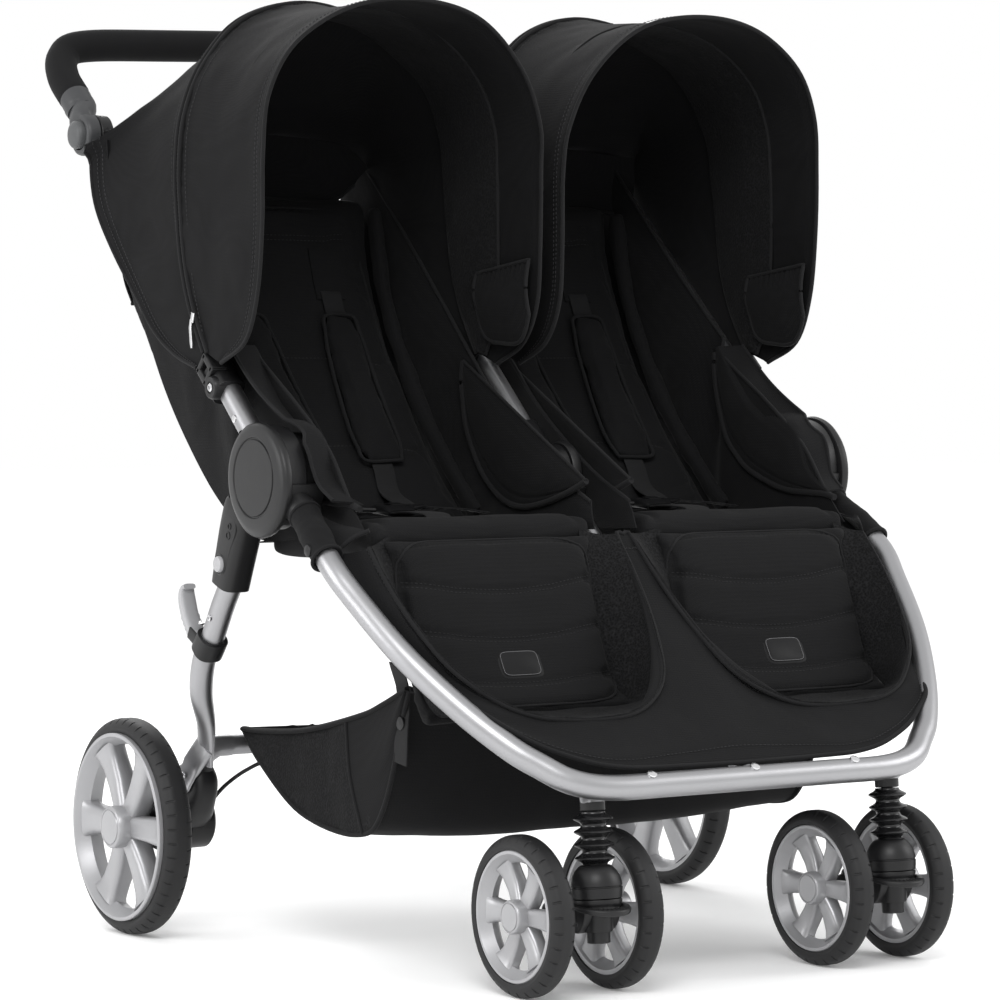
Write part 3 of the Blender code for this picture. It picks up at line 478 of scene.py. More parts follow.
HUB_Y, HUB_Z = joint_place("handle_fold").yz
HANDLE_PIVOT_Y, HANDLE_PIVOT_Z = joint_place("handlebar_tilt").yz
HANDLE_WAY = (Vector((0, HANDLE_PIVOT_Y - HUB_Y, HANDLE_PIVOT_Z - HUB_Z))).normalized()
HANDLE_UP = Vector((0, -HANDLE_WAY.z, HANDLE_WAY.y))         # square to a handle tube, upwards
HANDLE_LENGTH = math.hypot(HANDLE_PIVOT_Y - HUB_Y, HANDLE_PIVOT_Z - HUB_Z)
SIDE_X, TUBE_RADIUS = 0.335, 0.0125
ACROSS = Vector((1, 0, 0))
UP = Vector((0, 0, 1))
FRONT_BAR_Y, FRONT_BAR_Z = -0.4305, 0.205
FRONT_SLOPE = math.radians(42.4)
PLANE_WAY = Vector((0, math.cos(FRONT_SLOPE), math.sin(FRONT_SLOPE)))      # up the plane of the U tube
PLANE_NORMAL = Vector((0, -math.sin(FRONT_SLOPE), math.cos(FRONT_SLOPE)))
BEHIND = Vector((0, 1, 0))


def along_handle(reach, x=0.0, rise=0.0):
    """The point this far from the hub axis along a handle tube, and this far above it."""
    return Vector((x, HUB_Y, HUB_Z)) + HANDLE_WAY * reach + HANDLE_UP * rise


def hub_point(reach, degrees, x=0.0):
    angle = math.radians(degrees)
    return Vector((x, HUB_Y + reach * math.cos(angle), HUB_Z + reach * math.sin(angle)))


# --- front frame ----------------------------------------------------------------------------------------

# (distance up the plane from the front bar, half-width) of the U tube.
U_TUBE = ((0.0, 0.0), (0.0, 0.1), (0.001, 0.17), (0.012, 0.21), (0.035, 0.236), (0.06, 0.258),
          (0.113, 0.289), (0.185, 0.319), (0.262, 0.338), (0.316, 0.346))
FRONT_TUBE_ANGLE = 211


def front_point(distance, x, proud=0.0):
    """A point on the plane of the U tube: this far up from the front bar, and this far out of the plane."""
    return Vector((x, FRONT_BAR_Y, FRONT_BAR_Z)) + PLANE_WAY * distance + PLANE_NORMAL * proud


def front_route():
    right = [front_point(s, x) for s, x in U_TUBE] + [hub_point(0.063, FRONT_TUBE_ANGLE, SIDE_X)]
    return curve_through(mirrored(right[:0:-1], LEFT) + right, 6)


def build_front_tube():
    tube = round_tube(front_route(), TUBE_RADIUS, PLANE_NORMAL, 32)
    top = hub_point(0.0478, 216)
    spine = curve_through((top, Vector((0, -0.2, 0.39)), Vector((0, -0.33, 0.281)),
                           Vector((0, FRONT_BAR_Y + 0.002, FRONT_BAR_Z - 0.003))), 8)
    piece("frame_tube", merged(tube, round_tube(spine, 0.0105, ACROSS, 24)), SILVER, "front_frame",
          ["front_frame_tube"])
    rivets = []
    for x in (0.0, 0.125, -0.125):
        rivets.append(dome(front_point(0.004, x, TUBE_RADIUS - 0.0004), PLANE_NORMAL + PLANE_WAY * 0.25,
                           0.0052, 0.0022))
    for side in (LEFT, RIGHT):
        rivets.append(dome(hub_point(0.078, FRONT_TUBE_ANGLE - 2, side * (SIDE_X + TUBE_RADIUS + 0.0006)),
                           (side, 0, 0), 0.0045, 0.0018))
    piece("frame_rivets", merged(*rivets), STEEL, "front_frame")


HUB_FACE_X = (0.349, 0.3625)


def build_hubs():
    """Each side hub is a thick cover with a plain round disc in it, and a socket for the front tube."""
    for name, side in SIDES:
        low, high = HUB_FACE_X
        thick = high - low
        profile = ((0.0, 0.03), (0.0, 0.056), (0.0012, 0.0578), (0.006, 0.059), (0.009, 0.058),
                   (0.0112, 0.0553), (thick - 0.0008, 0.05), (thick - 0.0002, 0.042),
                   (thick - 0.0008, 0.0412), (thick - 0.0018, 0.0408), (thick - 0.0018, 0.0394),
                   (thick - 0.0002, 0.0388), (thick, 0.034), (thick + 0.0002, 0.001))
        cover = turned(profile, (side * low, HUB_Y, HUB_Z), (side, 0, 0), 72)
        # The cover is egg-shaped: a little fuller towards the front tube and the leg.
        for vert in cover.verts:
            away = Vector((0, vert.co.y - HUB_Y, vert.co.z - HUB_Z))
            if away.length > 0.043:
                turn = math.atan2(away.z, away.y)
                fuller = 0.0035 * max(0.0, math.cos(turn - math.radians(228))) - 0.0025 * max(
                    0.0, math.cos(turn - math.radians(110)))
                vert.co += away.normalized() * fuller * smooth((away.length - 0.043) / 0.014)
        socket = round_tube((hub_point(0.046, FRONT_TUBE_ANGLE, side * (SIDE_X + 0.002)),
                             hub_point(0.06, FRONT_TUBE_ANGLE, side * (SIDE_X + 0.001)),
                             hub_point(0.0685, FRONT_TUBE_ANGLE, side * SIDE_X)), 0.0166, ACROSS, 28)
        shell = plate(arc((HUB_Y, HUB_Z), 0.0475, 186, 238, 10) + arc((HUB_Y, HUB_Z), 0.056, 238, 186, 10),
                      side * 0.3105, side * 0.351)
        pip = dome((side * (low + 0.006), *hub_point(0.0585, 52).yz),
                   hub_point(1, 52) - Vector((0, HUB_Y, HUB_Z)), 0.003, 0.0012)
        piece(f"hub_cover_{name}", merged(cover, socket, shell, pip), HUB_PLASTIC, "front_frame",
              [f"hub_{name}"], bevel=0.0006)
    cheeks = []
    for side in (LEFT, RIGHT):
        cheeks.append(turned(((0, 0.02), (0, 0.0315), (0.0025, 0.033), (0.0095, 0.0325), (0.0125, 0.029),
                              (0.0135, 0.024), (0.013, 0.0235), (0.013, 0.001)),
                             (side * 0.01, HUB_Y, HUB_Z), (side, 0, 0), 48))
    web = plate(arc((HUB_Y, HUB_Z), 0.031, 200, 232, 6) + arc((HUB_Y, HUB_Z), 0.0475, 232, 200, 6), -0.0195,
                0.0195, 0.003, 3)
    piece("hub_middle", merged(web, *cheeks), HUB_PLASTIC, "front_frame", ["hub_centre"])


# --- handle frame ---------------------------------------------------------------------------------------

TOP_BAR_REACH = 0.505


def build_handle_tubes():
    for name, side in SIDES:
        x = side * SIDE_X
        tube = round_tube((along_handle(0.0405, x), along_handle(HANDLE_LENGTH - 0.026, x)), TUBE_RADIUS,
                          ACROSS, 32)
        piece(f"handle_side_{name}", tube, SILVER, "handle_frame", [f"handle_tube_{name}"])
        knuckle = turned(((0, 0.02), (0, 0.0515), (0.0015, 0.053), (0.019, 0.053), (0.02, 0.0515),
                          (0.02, 0.02)), (side * 0.3284, HUB_Y, HUB_Z), (side, 0, 0), 64)
        sleeve = sweep((along_handle(0.045, x), along_handle(0.062, x), along_handle(0.066, x)),
                       [(0.016, 0.0165), (0.015, 0.0155), (0.0142, 0.0148)], ACROSS, 28, 2.6)
        end = turned(((0, 0.006), (0, 0.019), (0.002, 0.022), (0.015, 0.0225), (0.0162, 0.0215),
                      (0.0162, 0.006)), (side * 0.3182, HANDLE_PIVOT_Y, HANDLE_PIVOT_Z), (side, 0, 0), 48)
        neck = sweep((along_handle(HANDLE_LENGTH - 0.052, x * 0.998),
                      along_handle(HANDLE_LENGTH - 0.036, x * 0.99),
                      along_handle(HANDLE_LENGTH - 0.018, side * 0.3262)),
                     [(0.015, 0.0152), (0.0145, 0.0158), (0.0078, 0.0165)], ACROSS, 28, 3)
        piece(f"handle_fittings_{name}", merged(knuckle, sleeve, end, neck), BLACK_PLASTIC, "handle_frame",
              bevel=0.0005)
        build_canopy_mount(name, side)
    eye = turned(((0, 0.012), (0, 0.0285), (0.001, 0.0295), (0.018, 0.0295), (0.019, 0.0285),
                  (0.019, 0.012)), (-0.0095, HUB_Y, HUB_Z), (1, 0, 0), 48)
    neck = sweep((along_handle(0.012), along_handle(0.04), along_handle(0.062), along_handle(0.067)),
                 [(0.0093, 0.02), (0.011, 0.0165), (0.0145, 0.0155), (0.0138, 0.0145)], ACROSS, 24, 3)
    piece("handle_middle_fitting", merged(eye, neck), BLACK_PLASTIC, "handle_frame")
    tube = round_tube((along_handle(0.05), along_handle(TOP_BAR_REACH)), TUBE_RADIUS - 0.0005, ACROSS, 32)
    reach = SIDE_X - TUBE_RADIUS - 0.0003
    bar = round_tube((along_handle(TOP_BAR_REACH, -reach), along_handle(TOP_BAR_REACH, reach)), 0.009, UP,
                     24)
    rivets = []
    for reach_out in (0.083, 0.094):
        rivets.append(dome(along_handle(reach_out, -0.0118), (-1, 0, 0), 0.0034, 0.0016, 18))
        rivets.append(dome(along_handle(reach_out, 0.0118), (1, 0, 0), 0.0034, 0.0016, 18))
    piece("handle_middle", merged(tube, bar), SILVER, "handle_frame", ["handle_centre_tube"])
    piece("handle_middle_rivets", merged(*rivets), STEEL, "handle_frame")


def build_canopy_mount(name, side):
    """The clamp that holds the canopy to the tube: a slotted block, and a round boss with a screw."""
    x = side * (SIDE_X + 0.002)
    sleeve = sweep((along_handle(0.128, x), along_handle(0.16, x)), (0.0165, 0.0165), ACROSS, 28, 3)
    boss = turned(((-0.02, 0.0125), (0.0045, 0.0125), (0.0075, 0.011), (0.0075, 0.0065), (0.006, 0.0062),
                   (0.006, 0.001)), (side * 0.349, *along_handle(0.136).yz), (side, 0, 0), 36)
    slot_frame = []
    centre = along_handle(0.158, side * 0.347, 0.005)
    for way, length, width in ((HANDLE_UP, 0.0115, 0.004), (-HANDLE_UP, 0.0115, 0.004)):
        middle = centre + way * 0.0095
        slot_frame.append(sweep((middle - HANDLE_WAY * length, middle + HANDLE_WAY * length),
                                (0.0095, width), ACROSS, 20, 6))
    for way in (HANDLE_WAY, -HANDLE_WAY):
        middle = centre + way * 0.01
        slot_frame.append(sweep((middle - HANDLE_UP * 0.0125, middle + HANDLE_UP * 0.0125), (0.0095, 0.0032),
                                ACROSS, 20, 6))
    piece(f"canopy_mount_{name}", merged(sleeve, boss, *slot_frame), BLACK_PLASTIC, "handle_frame",
          bevel=0.0006)
    piece(f"canopy_mount_screw_{name}", screw((side * 0.355, *along_handle(0.136).yz), (side, 0, 0),
                                              0.0044), STEEL, "handle_frame")
    piece(f"tube_rivet_{name}", dome(along_handle(0.088, side * (SIDE_X + TUBE_RADIUS - 0.0003)),
                                     (side, 0, 0), 0.0042, 0.0016), STEEL, "handle_frame")


# Right-hand route of the grip, from its end above the pivot to the middle of the bar.
GRIP_ROUTE = ((0.3345, 0.36, 0.896), (0.335, 0.376, 0.912), (0.335, 0.406, 0.938),
              (0.325, 0.428, 0.962), (0.298, 0.4335, 0.9765), (0.2, 0.4335, 0.982),
              (0.0, 0.4335, 0.987))
GRIP_RADIUS = 0.018


def build_handlebar():
    half = list(GRIP_ROUTE[1:])
    route = curve_through(mirrored(half, LEFT) + mirrored(half[-2::-1], RIGHT), 8)
    normal = Vector((0, -0.7, 0.7))
    sizes = [(GRIP_RADIUS, GRIP_RADIUS)] * len(route)
    sizes[0] = sizes[-1] = (GRIP_RADIUS * 0.93, GRIP_RADIUS * 0.93)
    grip = piece("foam_grip", sweep(route, sizes, normal, 40), FOAM, "handlebar", ["handlebar_grip"])
    seam = [p + Vector((0, 0.0, -GRIP_RADIUS + 0.0003)) for p in route[10:-10]]
    piece("grip_seam", sweep(seam, (0.0011, 0.0006), BEHIND, 8), FOAM, "handlebar")
    for name, side in SIDES:
        start, end = (Vector((side * p[0], p[1], p[2])) for p in GRIP_ROUTE[:2])
        towards = (end - start).normalized()
        centre = Vector((side * 0.3437, HANDLE_PIVOT_Y, HANDLE_PIVOT_Z))
        collar = sweep((start + towards * 0.002, end - towards * 0.0015, end + towards * 0.0035),
                       [(0.0168, 0.0168), (0.0176, 0.0176), (0.0172, 0.0172)], ACROSS, 36)
        neck = sweep(curve_through((centre + Vector((0, 0.004, 0.006)), centre + Vector((0, 0.014, 0.018)),
                                    start + towards * 0.001, start + towards * 0.012), 4),
                     [(0.0084, 0.019), (0.0085, 0.0185), (0.0088, 0.018), (0.0092, 0.0175),
                      (0.01, 0.017), (0.011, 0.0168), (0.0125, 0.0166), (0.014, 0.0165),
                      (0.015, 0.0166), (0.016, 0.0167), (0.0165, 0.0168), (0.0168, 0.0168),
                      (0.0168, 0.0168)], ACROSS, 32, 2.4)
        disc = turned(((0.0, 0.006), (0.0, 0.0215), (0.0014, 0.0229), (0.012, 0.0232), (0.015, 0.0222),
                       (0.0166, 0.02), (0.0166, 0.017), (0.0125, 0.0166), (0.0125, 0.001)),
                      (side * 0.3352, HANDLE_PIVOT_Y, HANDLE_PIVOT_Z), (side, 0, 0), 56)
        piece(f"knuckle_{name}", merged(collar, neck, disc), GREY_PLASTIC, "handlebar",
              [f"handlebar_knuckle_{name}"])
        cap = turned(((0.0, 0.01), (0.0, 0.0154), (0.007, 0.0156), (0.01, 0.015), (0.0118, 0.0132),
                      (0.0127, 0.009), (0.013, 0.001)), (side * 0.3477, HANDLE_PIVOT_Y, HANDLE_PIVOT_Z),
                     (side, 0, 0), 48)
        piece(f"pivot_button_{name}", cap, BUTTON_PLASTIC, f"pivot_button_{name}",
              [f"handlebar_button_{name}"])


# --- rear legs ------------------------------------------------------------------------------------------

CASTING_ROUTE = ((0.331, 0.002, 0.464), (0.331, 0.018, 0.425), (0.331, 0.033, 0.385))
LEG_ROUTE = ((0.331, 0.0335, 0.384), (0.331, 0.05, 0.362), (0.331, 0.0715, 0.329),
             (0.33, 0.093, 0.303), (0.324, 0.111, 0.268), (0.31, 0.126, 0.23),
             (0.303, 0.142, 0.19))
CROSSBAR_Y, CROSSBAR_Z = 0.1435, 0.206


def build_legs():
    for name, side in SIDES:
        eye = turned(((0, 0.016), (0, 0.045), (0.0012, 0.0462), (0.0185, 0.0462), (0.0195, 0.045),
                      (0.0195, 0.016)), (side * 0.308, HUB_Y, HUB_Z), (side, 0, 0), 56)
        middle = 0.3176
        arm = sweep(mirrored(((middle, HUB_Y + 0.012, HUB_Z - 0.01), (middle, -0.018, 0.474),
                              (0.322, 0.004, 0.456)), side), [(0.0095, 0.028), (0.0098, 0.025),
                                                              (0.011, 0.0225)], ACROSS, 28, 4)
        body = sweep(curve_through(mirrored(((0.33, -0.0015, 0.472), *CASTING_ROUTE), side), 4),
                     [(0.008, 0.012), (0.012, 0.018), (0.015, 0.022), (0.016, 0.0235),
                      (0.0166, 0.024), (0.0168, 0.024), (0.017, 0.0236), (0.0171, 0.023),
                      (0.0171, 0.0222), (0.0171, 0.0212), (0.017, 0.0203), (0.0169, 0.0196),
                      (0.0167, 0.0188)], ACROSS, 40, 3.6)
        parts = [eye, arm, body]
        # A raised panel on the outer face carries the button and a small screw recess.
        face_x = side * 0.3478
        outline = ((-0.006, 0.456), (0.01, 0.46), (0.028, 0.435), (0.0385, 0.408), (0.034, 0.3965),
                   (0.018, 0.399), (0.002, 0.426), (-0.0085, 0.444))
        rounded = [(p.y, p.z) for p in curve_through(upright(outline + outline[:1]), 5)[:-1]]
        parts.append(plate(rounded, side * 0.344, face_x, 0.0012, 3))
        piece(f"leg_housing_{name}", merged(*parts), HUB_PLASTIC, "rear_legs", [f"leg_casting_{name}"])
        for number, (y, z, radius) in enumerate(((0.007, 0.4385, 0.003), (0.004, 0.448, 0.0022))):
            rim = ring(((0, radius), (0.0009, radius), (0.0009, radius + 0.0012), (0, radius + 0.0014)),
                       (face_x, y, z), (side, 0, 0), 20)
            piece(f"leg_recess_{name}_{number}", rim, BLACK_PLASTIC, "rear_legs")
        route = curve_through(mirrored(LEG_ROUTE, side), 8)
        start = route[0]
        route[0] = start - (route[1] - start).normalized() * 0.004
        sizes = []
        for k in range(len(route)):
            flat = smooth((k / (len(route) - 1) - 0.62) / 0.38)
            sizes.append((lerp(TUBE_RADIUS, 0.0062, flat), lerp(TUBE_RADIUS, 0.0158, flat)))
        leg = sweep(route, sizes, ACROSS, 32)
        # The flattened end runs down over the outside of the axle housing, with two rivets.
        tail = mirrored(((0.3075, 0.133, 0.208), (0.316, 0.148, 0.185), (0.3215, 0.159, 0.165),
                         (0.322, 0.167, 0.15)), side)
        flap = sweep(curve_through(tail, 5), [(0.005, 0.0155)] * 6 + [(0.003, 0.015)] * 5
                     + [(0.0024, 0.0125), (0.0024, 0.0105), (0.0022, 0.0085), (0.002, 0.006),
                        (0.0012, 0.0025)], ACROSS, 24, 3)
        piece(f"leg_tube_{name}", merged(leg, flap), SILVER, "rear_legs", [f"rear_leg_{name}"])
        rivets = [dome((side * 0.3236, 0.1535, 0.1745), (side, 0, 0), 0.0042, 0.0024),
                  dome((side * 0.3242, 0.163, 0.1575), (side, 0, 0), 0.0042, 0.0024),
                  screw((side * (0.331 + TUBE_RADIUS - 0.0004), 0.056, 0.35), (side, 0, 0), 0.0036)]
        piece(f"leg_rivets_{name}", merged(*rivets), STEEL, "rear_legs")
        build_axle_housing(name, side)
    reach = 0.2925
    bar = round_tube(((-reach, CROSSBAR_Y, CROSSBAR_Z), (reach, CROSSBAR_Y, CROSSBAR_Z)), 0.011, UP, 28)
    brackets = []
    for side in (LEFT, RIGHT):
        brackets.append(sweep(mirrored(((0.272, CROSSBAR_Y, CROSSBAR_Z), (0.288, CROSSBAR_Y, CROSSBAR_Z),
                                        (0.2985, 0.144, 0.203), (0.306, 0.143, 0.196)), side),
                              [(0.0116, 0.0116), (0.012, 0.0122), (0.0135, 0.0135), (0.012, 0.012)], UP,
                              24, 2.6))
    piece("rear_bar", merged(bar, *brackets), SILVER, "rear_legs", ["rear_crossbar"])


def build_axle_housing(name, side):
    """A tongue under the leg's end, and a drum round the axle with a stepped joint line."""
    tongue = sweep(curve_through(mirrored(((0.302, 0.149, 0.185), (0.302, 0.16, 0.168),
                                           (0.303, 0.176, 0.15), (0.303, 0.196, 0.128)), side), 4),
                   [(0.011, 0.012), (0.014, 0.018), (0.016, 0.0215), (0.017, 0.0245), (0.018, 0.0265),
                    (0.019, 0.028), (0.0205, 0.029), (0.022, 0.03), (0.0235, 0.0305), (0.025, 0.0305),
                    (0.026, 0.03), (0.0265, 0.029), (0.0265, 0.027)], ACROSS, 36, 3.2)
    centre = (0.1975, 0.1205)
    drum = turned(((0.0, 0.02), (0.0, 0.0275), (0.0025, 0.0302), (0.03, 0.0306), (0.0302, 0.0298),
                   (0.0312, 0.0298), (0.0314, 0.0306), (0.056, 0.0306), (0.059, 0.029), (0.059, 0.012)),
                  (side * 0.2745, *centre), (side, 0, 0), 56)
    boss = turned(((0, 0.016), (0.006, 0.015), (0.0065, 0.008), (0.008, 0.0078), (0.04, 0.005)),
                  (side * 0.331, 0.2125, 0.117), (side, 0, 0), 32)
    guide = sweep(mirrored(((0.2735, 0.184, 0.144), (0.276, 0.19, 0.138), (0.28, 0.196, 0.13)),
                           side), [(0.0045, 0.0045), (0.006, 0.0055), (0.006, 0.005)], ACROSS, 20)
    piece(f"axle_box_{name}", merged(tongue, drum, boss, guide), BLACK_PLASTIC, "rear_legs",
          [f"axle_housing_{name}"])
    bolts = [turned(((0, 0.0026), (0.0048, 0.0026)), (side * (0.296 + 0.008 * k), 0.2 - 0.004 * k,
                                                      0.0922), (0, 0, -1), 16) for k in range(2)]
    piece(f"axle_bolts_{name}", merged(*bolts), STEEL, "rear_legs")


def build_hook():
    """The transport hook: a ribbed pale claw on a black clamp round the left leg."""
    leg = curve_through(mirrored(LEG_ROUTE, LEFT), 3)
    clamp = sweep(leg[6:9], (0.016, 0.016), ACROSS, 32, 2.6)
    foot = joint_place("hook_swing")
    lug = sweep((foot + Vector((0, -0.022, -0.0125)), foot + Vector((0, -0.015, -0.0085))),
                (0.0138, 0.0075), ACROSS, 24, 3.5)
    cheeks = [sweep((foot + Vector((x, -0.018, -0.01)), foot + Vector((x, -0.006, -0.0035)),
                     foot + Vector((x, 0.001, 0))), (0.0015, 0.0068), ACROSS, 16, 4)
              for x in (-0.0124, 0.0124)]
    piece("hook_mount", merged(clamp, lug, *cheeks), BLACK_PLASTIC, "rear_legs", ["hook_clamp"],
          bevel=0.0008)
    piece("hook_screw", screw(foot + Vector((-0.0002, -0.0035, 0.0085)), (0, -0.35, 0.9), 0.0035), STEEL,
          "rear_legs")
    route = curve_through([foot + Vector((0, y, z)) for y, z in
                           ((-0.002, -0.0075), (0.007, -0.003), (0.015, 0.0062), (0.0225, 0.017),
                            (0.0275, 0.029), (0.0295, 0.039), (0.0275, 0.045), (0.0225, 0.047))], 4)
    sizes = []
    for k in range(len(route)):
        t = k / (len(route) - 1)
        ribs = 0.0006 * (1 if k % 2 and t < 0.42 else 0)
        sizes.append((0.0098 - 0.0026 * smooth((t - 0.55) / 0.45) + ribs,
                      0.0052 - 0.0022 * smooth((t - 0.5) / 0.5) + ribs))
    piece("hook", sweep(route, sizes, ACROSS, 24, 3.2), HOOK_PLASTIC, "hook", ["transport_hook"])


CABLE_ROUTE = ((0.269, 0.184, 0.145), (0.26, 0.172, 0.16), (0.244, 0.156, 0.176),
               (0.22, 0.144, 0.186), (0.15, 0.14, 0.188), (0.0, 0.14, 0.188))


def build_brake():
    half = list(CABLE_ROUTE)
    route = curve_through(mirrored(half, LEFT) + mirrored(half[-2::-1], RIGHT), 6)
    piece("brake_line", round_tube(route, 0.0022, UP, 14), BLACK_PLASTIC, "rear_legs", ["brake_cable"])
    hinge = joint_place("brake_press")
    boss = round_tube((hinge - ACROSS * 0.02, hinge + ACROSS * 0.02), 0.0055, UP, 24)
    path = [hinge, hinge + Vector((0, 0.012, 0.0035)), hinge + Vector((0, 0.026, 0.006)),
            hinge + Vector((0, 0.042, 0.004))]
    tread = sweep(curve_through(path, 4), [(0.018, 0.004)] * 4 + [(0.0215, 0.0042)] * 6
                  + [(0.0205, 0.0035)] * 3, ACROSS, 32, 4.5)
    ribs = []
    for k in range(4):
        middle = hinge + Vector((0, 0.02 + 0.005 * k, 0.0092 - 0.0004 * k))
        ribs.append(sweep((middle - ACROSS * 0.016, middle + ACROSS * 0.016), (0.0009, 0.0009), BEHIND, 8))
    piece("brake_pedal_tread", merged(boss, tread, *ribs), GREY_PLASTIC, "brake", ["brake_pedal"])
    low, high = (Vector(corner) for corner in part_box("fold_safety_button"))
    centre = (low + high) / 2
    cap = turned(((0, 0.0085), (0.0052, 0.0085), (0.007, 0.0078), (0.008, 0.0055), (0.0084, 0.001)),
                 (high.x, centre.y, centre.z), (LEFT, 0, 0), 36)
    piece("fold_button", cap, HOOK_PLASTIC, "fold_button", ["fold_safety_button"])
    bezel = ring(((0, 0.0092), (0.0022, 0.0092), (0.0026, 0.0104), (0.0016, 0.0118), (0, 0.012)),
                 (-0.3462, centre.y, centre.z), (LEFT, 0, 0), 36)
    piece("fold_button_bezel", bezel, BLACK_PLASTIC, "rear_legs")


# --- wheels and casters ---------------------------------------------------------------------------------


def tyre(radius, width, rim_radius, sipes):
    """A tyre about the X axis with two staggered rows of short sipes across its shoulders."""
    half = width / 2
    steps = 18
    tread = []
    for k in range(steps + 1):
        t = -1 + 2 * k / steps
        tread.append((half * math.copysign(abs(t) ** 0.9, t), radius - 0.0095 * abs(t) ** 3.4, t))
    wall = [(half * 0.99, rim_radius + 0.0045, 9), (half * 0.93, rim_radius + 0.0008, 9),
            (half * 0.84, rim_radius + 0.0006, 9)]
    profile = [(-d, r, t) for d, r, t in reversed(wall)] + tread + wall
    width_angle = 0.0013 / radius
    rings = []
    for k in range(2 * sipes):
        row = 1 if k % 2 else -1
        for step, depth in ((-1, 0), (-0.55, 1), (0.55, 1), (1, 0), (4.5, 0)):
            angle = TAU * k / (2 * sipes) + step * width_angle
            out = Vector((0, math.cos(angle), math.sin(angle)))
            points = []
            for d, r, t in profile:
                cut = depth * 0.0014 if 0.38 < t * row < 0.86 else 0.0
                points.append(Vector((d, 0, 0)) + out * (r - cut))
            rings.append(points)
    return loft(rings, closed=True)


def wheel_rim(radius, inner, outer, cap, hub_radius, spoke_half):
    """A deep rim with six broad rounded spokes and a hub cap with a raised inner disc."""
    middle = lerp(inner, outer, 0.55)
    barrel = ring([(inner, radius - 0.004), (inner, radius + 0.0004), (outer - 0.001, radius + 0.0004),
                   (outer, radius - 0.0006), (outer, radius - 0.0034), (outer - 0.0016, radius - 0.0046),
                   (lerp(outer, middle, 0.6), radius - 0.0085), (middle, radius - 0.012),
                   (lerp(middle, inner, 0.5), radius - 0.0095)], (0, 0, 0), (1, 0, 0), 96)
    hub = turned(((inner, 0.004), (inner, hub_radius * 0.92), (outer - 0.004, hub_radius * 1.02),
                  (cap - 0.0022, hub_radius), (cap - 0.0008, hub_radius * 0.95),
                  (cap - 0.0004, hub_radius * 0.87), (cap - 0.0011, hub_radius * 0.85),
                  (cap - 0.0011, hub_radius * 0.81), (cap - 0.0001, hub_radius * 0.79),
                  (cap, hub_radius * 0.5), (cap, 0.0005)), (0, 0, 0), (1, 0, 0), 48)
    spokes = []
    low, high = inner + 0.002, outer - 0.0035
    depth = (high - low) / 2
    for k in range(6):
        angle = math.radians(60 * k)
        out = Vector((0, math.cos(angle), math.sin(angle)))
        centre = Vector(((low + high) / 2, 0, 0))
        reach = radius - 0.0085
        path, sizes = [], []
        for t, wide, deep in ((0.55 * hub_radius / reach, 0.8, 1.0), (0.32, 0.84, 0.98), (0.55, 0.94, 0.92),
                              (0.8, 1.06, 0.84), (0.93, 1.22, 0.86), (1.0, 1.55, 0.94)):
            path.append(centre + out * reach * t + Vector((-0.004 * math.sin(math.pi * t) - 0.001, 0, 0)))
            sizes.append((depth * deep, spoke_half * wide))
        spokes.append(sweep(path, sizes, ACROSS, 28, 3.6))
    return merged(barrel, hub, *spokes)


# Tyres: radius, width, rim radius and how many sipes a row has.
REAR_TYRE = (0.117, 0.032, 0.101, 48)
CASTER_TYRE = (0.0794, 0.027, 0.0644, 32)
# Rims: radius, inner face, outer face, cap face, hub radius and half a spoke's width.
REAR_RIM = (0.101, -0.0135, 0.02, 0.0271, 0.0226, 0.0148)
CASTER_RIM = (0.0644, -0.011, 0.0125, 0.016, 0.0166, 0.0104)


def place_wheel(label, joint, outward, tyre_shape, rim_shape, nodes):
    """One wheel from shared meshes, its outer face towards outward, on the body that its joint turns."""
    body = JOINTS[joint]["child"]
    for kind, mesh, slot in (("tyre", tyre_shape, "tyre_rubber"), ("rim", rim_shape, "silver_plastic")):
        obj = bpy.data.objects.new(f"{label}_{kind}", mesh)
        obj.location = joint_place(joint)
        obj.rotation_euler = (0, 0, 0 if outward > 0 else math.pi)
        bpy.context.collection.objects.link(obj)
        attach(obj, body)
        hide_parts(nodes[kind])


def shared_mesh(bm, look, angle=40):
    obj = piece("shared", bm, look, None, angle=angle)
    mesh = obj.data
    bpy.data.objects.remove(obj, do_unlink=True)
    return mesh


def build_wheels():
    tyre_shape = shared_mesh(tyre(*REAR_TYRE), TYRE)
    rim_shape = shared_mesh(wheel_rim(*REAR_RIM), WHEEL_SILVER)
    for name, side in SIDES:
        place_wheel(f"rear_wheel_{name}", f"rear_wheel_{name}_spin", side, tyre_shape, rim_shape,
                    {"tyre": f"rear_tyre_{name}", "rim": f"rear_rim_{name}"})
    tyre_shape = shared_mesh(tyre(*CASTER_TYRE), TYRE)
    rim_shape = shared_mesh(wheel_rim(*CASTER_RIM), WHEEL_SILVER)
    for name, side in SIDES:
        for place, outward in (("outer", side), ("inner", -side)):
            label = f"caster_wheel_{name}_{place}"
            place_wheel(label, f"{label}_spin", outward, tyre_shape, rim_shape,
                        {"tyre": f"caster_tyre_{name}_{place}", "rim": f"caster_rim_{name}_{place}"})


POST_LEAN = math.radians(4.7)
POST_DOWN = Vector((0, -math.sin(POST_LEAN), -math.cos(POST_LEAN)))
CASTER_X, CASTER_HEAD_Y, CASTER_HEAD_Z = 0.182, -0.4161, 0.191
BELLOWS_TOP, BELLOWS_FOOT, BELLOWS_FOLDS = 0.0088, 0.06, 4


